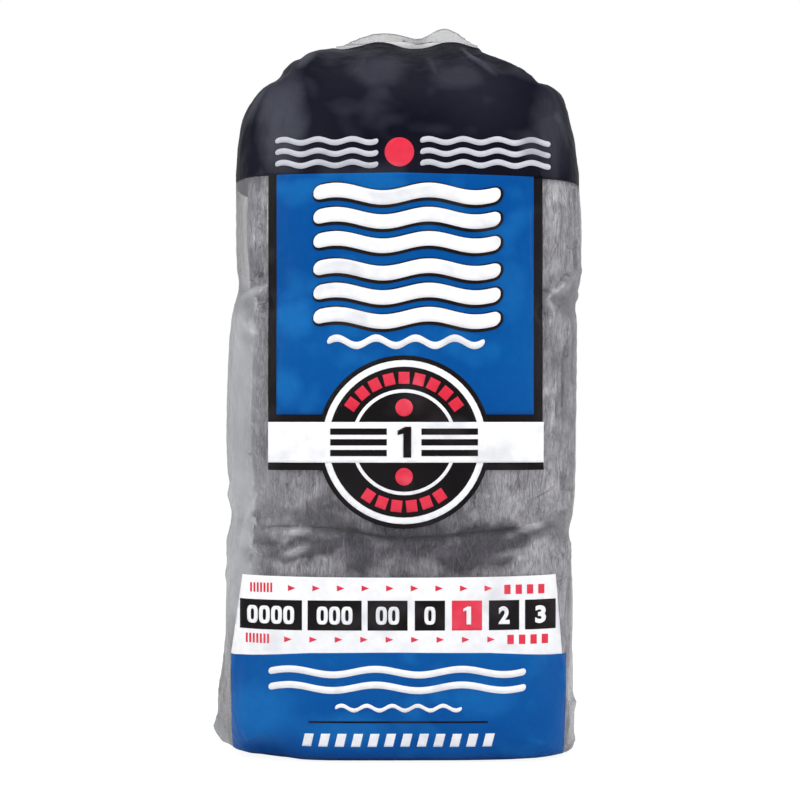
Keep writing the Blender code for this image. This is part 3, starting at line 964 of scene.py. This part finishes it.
def film_piece(keep, height):
    """Faces of the film whose middles pass a test, raised off it by a height."""
    film = bpy.data.objects["film"].data
    count = len(film.vertices)
    places, normals = np.empty(3 * count), np.empty(3 * count)
    film.vertices.foreach_get("co", places)
    film.vertices.foreach_get("normal", normals)
    places, normals = places.reshape(-1, 3), normals.reshape(-1, 3)
    corners = np.empty(3 * len(film.polygons), dtype=np.int32)
    film.polygons.foreach_get("vertices", corners)
    corners = corners.reshape(-1, 3)
    chosen = corners[keep(places[corners].mean(axis=1))]
    used, renumbered = np.unique(chosen, return_inverse=True)
    mesh = bpy.data.meshes.new("film_piece")
    raised = places[used] + normals[used] * height
    mesh.from_pydata(raised.tolist(), [], renumbered.reshape(-1, 3).tolist())
    for name in ("fold", "lift"):
        values = np.empty(count, dtype=np.float32)
        film.attributes[name].data.foreach_get("value", values)
        mesh.attributes.new(name, "FLOAT", "POINT").data.foreach_set("value", values[used])
    bm = bmesh.new()
    bm.from_mesh(mesh)
    bpy.data.meshes.remove(mesh)
    return bm


def cut_away(bm, place, outward):
    """Cuts a bmesh by a plane and drops what lies on the plane's outer side."""
    bmesh.ops.bisect_plane(
        bm,
        geom=bm.verts[:] + bm.edges[:] + bm.faces[:],
        dist=CUT_MERGE,
        plane_co=place,
        plane_no=outward,
        clear_outer=True,
    )


def bend_by(bm, bend):
    """Raises a bmesh by a bend in mm at both ends of its width, and by nothing in the middle."""
    if bend:
        for vert in bm.verts:
            vert.co.z += bend * MM * (vert.co.x / (BEND_WIDTH * MM)) ** 2


def print_field(name, colour_name, coat, corners, bend=0.0):
    """A convex field of ink on the front, from its corners in mm, given clockwise as seen from the front."""
    sizes = bpy.context.scene.wool_pack_print
    across = [corner[0] * MM for corner in corners]
    upward = [corner[1] * MM for corner in corners]

    def near(middles):
        inside = middles[:, 1] < FRONT
        for axis, places in ((0, across), (2, upward)):
            inside &= middles[:, axis] > min(places) - CUT_SLACK
            inside &= middles[:, axis] < max(places) + CUT_SLACK
        return inside

    bm = film_piece(near, sizes.coat * coat)
    bend_by(bm, -bend)
    for k, (x, z) in enumerate(zip(across, upward)):
        run, rise = across[k - 1] - x, upward[k - 1] - z
        cut_away(bm, Vector((x, 0, z)), Vector((rise, 0, -run)).normalized())
    bend_by(bm, bend)
    return finish_ink(name, bm, colour_name)


def thicken(bm, depth):
    """Makes a sheet solid, from its face inwards."""
    bm.normal_update()
    sheet, rim = bm.faces[:], [edge for edge in bm.edges if edge.is_boundary]
    twins = {vert: bm.verts.new(vert.co - vert.normal * depth, vert) for vert in bm.verts[:]}
    for edge in rim:
        loop = edge.link_loops[0]
        first, second = loop.vert, loop.link_loop_next.vert
        bm.faces.new((second, first, twins[first], twins[second]))
    for face in sheet:
        bm.faces.new([twins[vert] for vert in reversed(face.verts)])


def drop_flaps(bm):
    """Drops faces that lie on each other with the same corners."""
    alike = {}
    for face in bm.faces:
        alike.setdefault(frozenset(face.verts), []).append(face)
    flaps = [face for faces in alike.values() if len(faces) > 1 for face in faces]
    bmesh.ops.delete(bm, geom=flaps, context="FACES")


def finish_ink(name, bm, colour_name):
    """A sheet of ink made solid and finished."""
    bmesh.ops.triangulate(bm, faces=bm.faces)
    bmesh.ops.dissolve_degenerate(bm, dist=0.002 * MM, edges=bm.edges)
    bmesh.ops.triangulate(bm, faces=bm.faces)
    drop_flaps(bm)
    thicken(bm, bpy.context.scene.wool_pack_print.ink)
    bmesh.ops.triangulate(bm, faces=bm.faces)
    return finish_piece(name, bm, ink(colour_name))


def box_corners(left, right, foot, top):
    return ((left, foot), (left, top), (right, top), (right, foot))


def disc_corners(x, z, radius, corners=64):
    turns = [math.tau * k / corners for k in range(corners)]
    return [(x + radius * math.sin(turn), z + radius * math.cos(turn)) for turn in turns]


def lay_flat_shape(name, colour_name, coat, bm, bend=0.0):
    """A flat shape of ink, in the xz plane, dropped onto the front of the film."""
    sizes = bpy.context.scene.wool_pack_print
    film = surface_of(bpy.data.objects["film"].data)
    bend_by(bm, bend)
    for vert in bm.verts:
        hit = film.ray_cast(Vector((vert.co.x, -OUTSIDE, vert.co.z)), Vector((0, 1, 0)))[0]
        vert.co.y = hit.y - sizes.coat * coat - SHAPE_LIFT
    bm.normal_update()
    if sum(face.normal.y * face.calc_area() for face in bm.faces) > 0:
        bmesh.ops.reverse_faces(bm, faces=bm.faces)
    return finish_ink(name, bm, colour_name)


def wave_strip(left, right, middle, thickness, amplitude, wavelength, bm=None):
    """A wavy strand with round ends, flat in the xz plane, from its sizes in mm."""
    bm = bm or bmesh.new()
    steps = math.ceil((right - left - thickness) / FLAT_LENGTH)
    rows = math.ceil(thickness / FLAT_WIDTH)
    radius = thickness / 2
    ends = [radius * (1 - math.cos(math.radians(turn))) for turn in (15, 32, 50, 70)]
    places = [left + end for end in ends]
    places += [left + radius + (right - left - thickness) * k / steps for k in range(steps + 1)]
    places += [right - end for end in reversed(ends)]
    columns = []
    for x in places:
        to_end = min(x - left, right - x, radius)
        half = math.sqrt(radius**2 - (radius - to_end) ** 2)
        crest = middle + amplitude * math.sin(math.tau * (x - left) / wavelength)
        columns.append(
            [
                bm.verts.new((x * MM, 0, (crest + half * (2 * row / rows - 1)) * MM))
                for row in range(rows + 1)
            ]
        )
    for first, second in zip(columns, columns[1:]):
        for row in range(rows):
            bm.faces.new((first[row], second[row], second[row + 1], first[row + 1]))
    return bm


ZERO_CORNERS, ZERO_SQUARENESS = 28, 3.4


def zero_shape(bm, left, right, foot, top, stroke):
    """A condensed 0: a ring between two squarish ovals."""
    middle_x, middle_z = (left + right) / 2, (foot + top) / 2
    rings = []
    for inset in (0.0, stroke):
        ring = []
        for k in range(ZERO_CORNERS):
            turn = math.tau * k / ZERO_CORNERS
            share_x, share_z = math.sin(turn), math.cos(turn)
            power = abs(share_x) ** ZERO_SQUARENESS + abs(share_z) ** ZERO_SQUARENESS
            size = power ** (1 / ZERO_SQUARENESS)
            x = middle_x + share_x / size * ((right - left) / 2 - inset)
            z = middle_z + share_z / size * ((top - foot) / 2 - inset * 0.9)
            ring.append(bm.verts.new((x * MM, 0, z * MM)))
        rings.append(ring)
    for k in range(ZERO_CORNERS):
        bm.faces.new((rings[0][k - 1], rings[0][k], rings[1][k], rings[1][k - 1]))


def one_shape(bm, left, right, foot, top):
    """A 1: a stem with a flag."""
    stem = left + (right - left) * 0.42
    fall = (top - foot) * 0.13
    outline = (
        (stem, foot), (right, foot), (right, top), (stem + (right - stem) * 0.25, top),
        (left, top - fall), (left, top - 2.1 * fall), (stem, top - 1.7 * fall),
    )
    bm.faces.new([bm.verts.new((x * MM, 0, z * MM)) for x, z in outline])


def font_shape(bm, figure, left, right, foot, top):
    """A bold figure of Blender's own font, fitted between its sides."""
    curve = bpy.data.curves.new("figure", "FONT")
    curve.body = figure
    curve.offset = 0.045
    curve.resolution_u = 4
    read_evaluated(curve, bm)
    places = coordinates_of(bm)
    low, high = places.min(axis=0), places.max(axis=0)
    for vert in bm.verts:
        across = (vert.co.x - low[0]) / (high[0] - low[0])
        upward = (vert.co.y - low[1]) / (high[1] - low[1])
        vert.co = ((left + (right - left) * across) * MM, 0.0, (foot + (top - foot) * upward) * MM)


def number_shape(text, middle, foot, height):
    """A number in bold condensed figures, flat in the xz plane, from its sizes in mm."""
    bm = bmesh.new()
    wide, pitch = 0.62 * height, 0.69 * height
    first = middle - pitch * (len(text) - 1) / 2
    for k, figure in enumerate(text):
        left, right = first + pitch * k - wide / 2, first + pitch * k + wide / 2
        if figure == "0":
            zero_shape(bm, left, right, foot, foot + height, 0.215 * height)
        elif figure == "1":
            one_shape(bm, left + 0.1 * height, right - 0.08 * height, foot, foot + height)
        else:
            font_shape(bm, figure, left, right, foot, foot + height)
    for axis in (0, 2):
        slice_through(bm, axis, FLAT_WIDTH * MM)
    return bm


# Places and sizes of the print in mm, x from the middle of the front and z from the foot. A wave has its
# strand's thickness, its height and its length, a spot its middle and its radius.
HEADER_FOOT = 188.0
HEADER_TILT = 0.011  # how the header's lower edge falls to the right
HEADER_SINK = 0.045  # how it sinks towards the back
HEADER_STRANDS = (("left", -38.9, -5.9), ("right", 7.4, 49.3))
HEADER_ROW, HEADER_PITCH, HEADER_WAVE = 195.6, 3.7, (1.8, 0.6, 11)
HEADER_SPOT = (0.8, 195.7, 4.7)
FRAME = (-41.1, 46.6, 109.6, HEADER_FOOT + 0.4)
PANEL = ((-38.4, 112.1), (-38.4, 188.6), (1.0, 189.1), (43.7, 188.0), (43.7, 112.1))
PANEL_ROWS, PANEL_PITCH = (("upper", 174.6), ("lower", 150.5)), 7.7
EDGING_ENDS, EDGING_DROP, EDGING_WAVE = (-26.9, 34.0), 0.35, (6.0, 1.2, 29.5)
STRAND_ENDS, STRAND_WAVE = (-26.6, 33.1), (4.6, 1.2, 29.5)
THIN_STRAND = (-22.2, 28.0, 135.2, 2.3, 1.2, 12.5)  # ends, height of its middle, and wave
BAND = (-41.1, 46.9, 96.8, 109.7)
STRIPE = (-41.1, 46.9, 94.4, 97.0)
BADGE_X, BADGE_Z = 2.3, 103.3
BADGE_RINGS = (("black", 1.0), ("white", 0.945), ("black", 0.870), ("white", 0.611), ("black", 0.571))
BADGE_MARKS = (("upper", 0.0, 9), ("lower", math.pi, 6))  # the turn of their middle, and how many
MARK_TURN, MARK_RING, MARK_WIDTH, MARK_HEIGHT = 0.235, 0.741, 3.5, 3.8
BADGE_SPOTS, SPOT_RADIUS = (("upper", 114.3), ("lower", 92.3)), 2.8
BAND_BARS, BAR_PITCH, BAR_HEIGHT = (("left", -21.2, -3.2), ("right", 7.8, 25.8)), 3.4, 2.0
BAND_GRADE_FOOT, BAND_GRADE_HEIGHT = 98.4, 9.8
STRIP = ((-53.7, 34.0), (-49.6, 60.2), (51.0, 60.2), (53.3, 34.0))
STRIP_BEND = 0.6
ROW_FOOT, ROW_TOP, ROW_BEND = 43.4, 52.9, 0.15
GRADES = (
    ("0000", -50.5, -30.2),
    ("000", -28.4, -11.2),
    ("00", -9.3, 3.4),
    ("0", 5.7, 15.3),
    ("1", 17.5, 27.1),
    ("2", 29.3, 39.0),
    ("3", 40.9, 51.0),
)
MARKED_GRADE = "1"
ARROWS, ARROW_COUNT = (("upper", 56.8, -33.5, 29.1), ("lower", 40.5, -34.7, 30.0)), 9
ARROW_LENGTH, ARROW_HEIGHT = 2.4, 1.9
TICKS = (  # name, middle height, left and right end, and how many
    ("fine_upper", 56.9, -47.0, -39.8, 7),
    ("coarse_upper", 56.4, 34.2, 47.2, 4),
    ("fine_lower", 40.6, -48.5, -40.8, 7),
    ("coarse_lower", 40.4, 35.2, 48.4, 4),
)
TICK_SHARE, TICK_HEIGHT = 0.55, 3.0  # width as a share of the pitch, and height
FOOTER = ((-53.8, 0.4), (-53.7, 34.8), (-28.0, 36.2), (1.0, 36.4), (30.0, 36.2), (54.9, 34.9), (54.2, 0.4))
FOOTER_TITLES, FOOTER_WAVE = (30.2, 25.2), (2.2, 0.9, 27.4)
FOOTER_ENDS = (-41.0, 41.2)
FOOTER_THIN = (-19.7, 20.7, 18.7, 1.3, 0.8, 8.1)
FOOTER_RULE = (-28.2, 29.0, 13.8, 14.4)
FOOTER_BARS, FOOTER_BAR_FIRST, FOOTER_BAR_PITCH = 12, -30.4, 5.25
FOOTER_BAR = ((0.0, 5.9), (1.0, 10.3), (3.9, 10.3), (2.9, 5.9))


def print_header():
    """The navy field that wraps round the crown, up to the root of the seal."""
    sizes = bpy.context.scene.wool_pack_print
    bm = film_piece(lambda middles: middles[:, 2] > (HEADER_FOOT - 8) * MM, sizes.coat)
    for vert in bm.verts:
        if vert.co.y > 0 and abs(vert.co.x) < bpy.context.scene.wool_pack_film.lap / 2 + LAP_MARGIN:
            vert.co += vert.normal * 2 * LAP_RISE
    slope = Vector((-HEADER_TILT, -HEADER_SINK, -1))
    cut_away(bm, Vector((0, -33 * MM, HEADER_FOOT * MM)), slope)
    for vert in bm.verts:
        vert.co.z -= seal_wave(vert.co.x)
    cut_away(bm, Vector((0, 0, SEAL_ROOT - 0.4 * MM)), Vector((0, 0, 1)))
    for vert in bm.verts:
        vert.co.z += seal_wave(vert.co.x)
    finish_ink("ink_header", bm, "navy")


def print_header_motif():
    """Light strands on both sides of a red spot."""
    for side, left, right in HEADER_STRANDS:
        bm = bmesh.new()
        for row in (-1, 0, 1):
            wave_strip(left, right, HEADER_ROW + HEADER_PITCH * row, *HEADER_WAVE, bm)
        lay_flat_shape(f"ink_header_strands_{side}", "grey", 2, bm)
    print_field("ink_header_spot", "red", 2, disc_corners(*HEADER_SPOT, 32))


def print_panel():
    """The blue panel in its black frame, with bold white strands edged in black."""
    print_field("ink_frame", "black", 1, box_corners(*FRAME))
    print_field("ink_panel", "blue", 2, PANEL)
    for name, middle in PANEL_ROWS:
        edging, strands = bmesh.new(), bmesh.new()
        for row in (-1, 0, 1):
            z = middle + PANEL_PITCH * row
            wave_strip(*EDGING_ENDS, z - EDGING_DROP, *EDGING_WAVE, edging)
            wave_strip(*STRAND_ENDS, z, *STRAND_WAVE, strands)
        lay_flat_shape(f"ink_panel_edging_{name}", "black", 3, edging)
        lay_flat_shape(f"ink_panel_strands_{name}", "white", 4, strands)
    lay_flat_shape("ink_panel_thin_strand", "white", 3, wave_strip(*THIN_STRAND))


def print_badge():
    """The round black badge with two white rings, red marks, and a white band with the grade across it."""
    radius = bpy.context.scene.wool_pack_print.badge / MM
    for step, (colour_name, share) in enumerate(BADGE_RINGS):
        corners = disc_corners(BADGE_X, BADGE_Z, radius * share)
        print_field(f"ink_badge_{step + 1}", colour_name, 3 + step, corners)
    for name, middle, count in BADGE_MARKS:
        for k in range(count):
            turn = middle + (k - (count - 1) / 2) * MARK_TURN
            place = Vector((math.sin(turn), math.cos(turn)))
            along = Vector((math.cos(turn), -math.sin(turn)))
            centre = Vector((BADGE_X, BADGE_Z)) + place * radius * MARK_RING
            turns = ((-1, -1), (-1, 1), (1, 1), (1, -1))
            quad = [centre + along * a * MARK_WIDTH / 2 + place * b * MARK_HEIGHT / 2 for a, b in turns]
            print_field(f"ink_badge_mark_{name}_{k + 1}", "red", 6, quad)
    for name, z in BADGE_SPOTS:
        print_field(f"ink_badge_spot_{name}", "red", 8, disc_corners(BADGE_X, z, SPOT_RADIUS, 24))
    print_field("ink_stripe", "black", 2, box_corners(*STRIPE))
    print_field("ink_band", "white", 8, box_corners(*BAND))
    for row in (-1, 0, 1):
        z = (BAND[2] + BAND[3]) / 2 + BAR_PITCH * row
        for side, left, right in BAND_BARS:
            corners = box_corners(left, right, z - BAR_HEIGHT / 2, z + BAR_HEIGHT / 2)
            print_field(f"ink_band_bar_{side}_{row + 2}", "black", 9, corners)
    grade = number_shape(MARKED_GRADE, BADGE_X, BAND_GRADE_FOOT, BAND_GRADE_HEIGHT)
    lay_flat_shape("ink_band_grade", "black", 9, grade)


def print_scale():
    """The white strip with its row of numbered boxes, its arrows, and ticks at both ends."""
    sizes = bpy.context.scene.wool_pack_print
    print_field("ink_strip", "white", 1, STRIP, STRIP_BEND)
    height = sizes.digits / MM
    foot = (ROW_FOOT + ROW_TOP - height) / 2
    for k, (text, left, right) in enumerate(GRADES):
        shade = "red" if text == MARKED_GRADE else "black"
        print_field(f"ink_box_{k + 1}", shade, 2, box_corners(left, right, ROW_FOOT, ROW_TOP), ROW_BEND)
        number = number_shape(text, (left + right) / 2, foot, height)
        lay_flat_shape(f"ink_number_{k + 1}", "white", 3, number, ROW_BEND)
    back, half = ARROW_LENGTH / 2, ARROW_HEIGHT / 2
    for name, z, first, last in ARROWS:
        for k in range(ARROW_COUNT):
            x = first + (last - first) * k / (ARROW_COUNT - 1)
            corners = ((x - back, z - half), (x - back, z + half), (x + back, z))
            print_field(f"ink_arrow_{name}_{k + 1}", "red", 2, corners)
    for name, z, left, right, count in TICKS:
        pitch = (right - left) / (count - 1 + TICK_SHARE)
        for k in range(count):
            x = left + pitch * k
            corners = box_corners(x, x + TICK_SHARE * pitch, z - TICK_HEIGHT / 2, z + TICK_HEIGHT / 2)
            print_field(f"ink_{name}_{k + 1}", "red", 2, corners)


def print_footer():
    """The blue field at the foot, with white strands, a dark rule and slanted bars."""
    print_field("ink_footer", "blue", 2, FOOTER)
    title = bmesh.new()
    for z in FOOTER_TITLES:
        wave_strip(*FOOTER_ENDS, z, *FOOTER_WAVE, title)
    lay_flat_shape("ink_footer_title", "white", 3, title)
    lay_flat_shape("ink_footer_thin", "white", 3, wave_strip(*FOOTER_THIN))
    print_field("ink_footer_rule", "navy", 3, box_corners(*FOOTER_RULE))
    for k in range(FOOTER_BARS):
        first = FOOTER_BAR_FIRST + FOOTER_BAR_PITCH * k
        corners = [(first + x, z) for x, z in FOOTER_BAR]
        print_field(f"ink_footer_bar_{k + 1}", "white", 3, corners)


class WOOLPACK_OT_print(bpy.types.Operator):
    """Print the fields, the badge and the grade scale on the film"""

    bl_idname = "woolpack.print"
    bl_label = "Print"

    def execute(self, context):
        print_header()
        print_header_motif()
        print_panel()
        print_badge()
        print_scale()
        print_footer()
        return {"FINISHED"}


CAMERA_DISTANCE = 780 * MM
CAMERA_X = 1.0 * MM
CAMERA_Z = 116.7 * MM
PICTURE_SIZE = 266.9 * MM  # how much the picture takes in at the middle of the pack's depth


# Each lamp's place in metres, its width and height in metres and its power in watts
LAMPS = {
    "left_softbox": ((-0.75, -0.65, 0.55), 0.35, 0.9, 5.4),
    "right_softbox": ((0.85, -0.45, 0.35), 0.25, 0.9, 4.6),
    "top_softbox": ((0.0, -0.2, 1.1), 0.7, 0.5, 4.4),
}
LAMP_AIM = Vector((0.0, 0.0, 0.12))
FLOOR_SIZE = 6.0
FLOOR_GLOW = 1.22  # strength of the floor's glow where the camera sees it
FLOOR_GLOW_SHARE = 0.75  # of that glow, and the rest shows the pack's shadow
WORLD_LIGHT = 0.40  # strength of the world where the camera doesn't see it


def lay_floor():
    """White paper, which shows white to the camera and keeps the pack's shadow."""
    bpy.ops.mesh.primitive_plane_add(size=FLOOR_SIZE)
    floor = bpy.context.object
    floor.name = "floor"
    made, tree = new_material("floor_paper")
    seen = add_node(tree, "ShaderNodeLightPath", output="Is Camera Ray")
    glow = add_node(tree, "ShaderNodeEmission", {"Color": colour("FFFFFF"), "Strength": FLOOR_GLOW})
    share = {0: seen, 1: FLOOR_GLOW_SHARE}
    both = {
        0: add_node(tree, "ShaderNodeMath", share, operation="MULTIPLY"),
        1: add_node(tree, "ShaderNodeBsdfDiffuse", {"Color": colour("F2F2F2")}),
        2: glow,
    }
    add_node(tree, "ShaderNodeOutputMaterial", {"Surface": add_node(tree, "ShaderNodeMixShader", both)})
    floor.data.materials.append(made)


def light_world(scene):
    """A world that is plain white to the camera and through the film, and dimmer as a light."""
    world = bpy.data.worlds.new("studio")
    scene.world = world
    world.use_nodes = True
    tree = world.node_tree
    tree.nodes.clear()
    rays = {
        0: add_node(tree, "ShaderNodeLightPath", output="Is Camera Ray"),
        1: add_node(tree, "ShaderNodeLightPath", output="Is Transmission Ray"),
    }
    seen = add_node(tree, "ShaderNodeMath", rays, operation="MAXIMUM")
    strength = add_node(tree, "ShaderNodeMapRange", {"Value": seen, "To Min": WORLD_LIGHT, "To Max": 1.0})
    white = {"Color": colour("FFFFFF"), "Strength": strength}
    add_node(tree, "ShaderNodeOutputWorld", {"Surface": add_node(tree, "ShaderNodeBackground", white)})


def hang_lamps(scene):
    for name, (place, width, height, watts) in LAMPS.items():
        light = bpy.data.lights.new(name, "AREA")
        light.shape = "RECTANGLE"
        light.size, light.size_y = width, height
        light.energy = watts
        lamp = bpy.data.objects.new(name, light)
        lamp.location = place
        lamp.visible_glossy = name != "top_softbox"
        lamp.rotation_euler = (LAMP_AIM - Vector(place)).to_track_quat("-Z", "Y").to_euler()
        scene.collection.objects.link(lamp)


def place_camera(scene):
    lens = bpy.data.cameras.new("camera")
    lens.sensor_width = 36.0
    lens.sensor_fit = "HORIZONTAL"
    lens.lens = lens.sensor_width * CAMERA_DISTANCE / PICTURE_SIZE
    lens.clip_start = 0.01
    camera = bpy.data.objects.new("camera", lens)
    camera.location = (CAMERA_X, -CAMERA_DISTANCE, CAMERA_Z)
    camera.rotation_euler = (math.radians(90), 0.0, 0.0)
    scene.collection.objects.link(camera)
    scene.camera = camera


class WOOLPACK_OT_stage(bpy.types.Operator):
    """Set up the floor, the lights and the camera"""

    bl_idname = "woolpack.stage"
    bl_label = "Stage"

    def execute(self, context):
        scene = context.scene
        scene.view_settings.view_transform = "Standard"
        lay_floor()
        light_world(scene)
        hang_lamps(scene)
        place_camera(scene)
        return {"FINISHED"}


class WOOLPACK_PT_steps(bpy.types.Panel):
    """The steps in order, and the sizes that they use"""

    bl_label = "Wool pack"
    bl_idname = "WOOLPACK_PT_steps"
    bl_space_type = "VIEW_3D"
    bl_region_type = "UI"
    bl_category = "Wool pack"

    def draw(self, context):
        for step in ("film", "pads", "fibres", "lap", "print", "stage"):
            self.layout.operator(f"woolpack.{step}")
        scene = context.scene
        for group in (scene.wool_pack_film, scene.wool_pack_wool, scene.wool_pack_print):
            for size in group.bl_rna.properties.keys():
                if size not in ("rna_type", "name"):
                    self.layout.prop(group, size)


CLASSES = (
    WoolPackFilm,
    WoolPackWool,
    WoolPackPrint,
    WOOLPACK_OT_film,
    WOOLPACK_OT_pads,
    WOOLPACK_OT_fibres,
    WOOLPACK_OT_lap,
    WOOLPACK_OT_print,
    WOOLPACK_OT_stage,
    WOOLPACK_PT_steps,
)


def register():
    for each in CLASSES:
        bpy.utils.register_class(each)
    bpy.types.Scene.wool_pack_film = bpy.props.PointerProperty(type=WoolPackFilm)
    bpy.types.Scene.wool_pack_wool = bpy.props.PointerProperty(type=WoolPackWool)
    bpy.types.Scene.wool_pack_print = bpy.props.PointerProperty(type=WoolPackPrint)


def unregister():
    del bpy.types.Scene.wool_pack_print
    del bpy.types.Scene.wool_pack_wool
    del bpy.types.Scene.wool_pack_film
    for each in reversed(CLASSES):
        bpy.utils.unregister_class(each)


def main():
    for old in list(bpy.context.scene.objects):
        if old.name in ("Cube", "Light", "Camera"):
            bpy.data.objects.remove(old)
    register()
    bpy.ops.woolpack.film()
    bpy.ops.woolpack.pads()
    bpy.ops.woolpack.fibres()
    bpy.ops.woolpack.lap()
    bpy.ops.woolpack.print()
    bpy.ops.woolpack.stage()


if __name__ == "__main__":
    main()
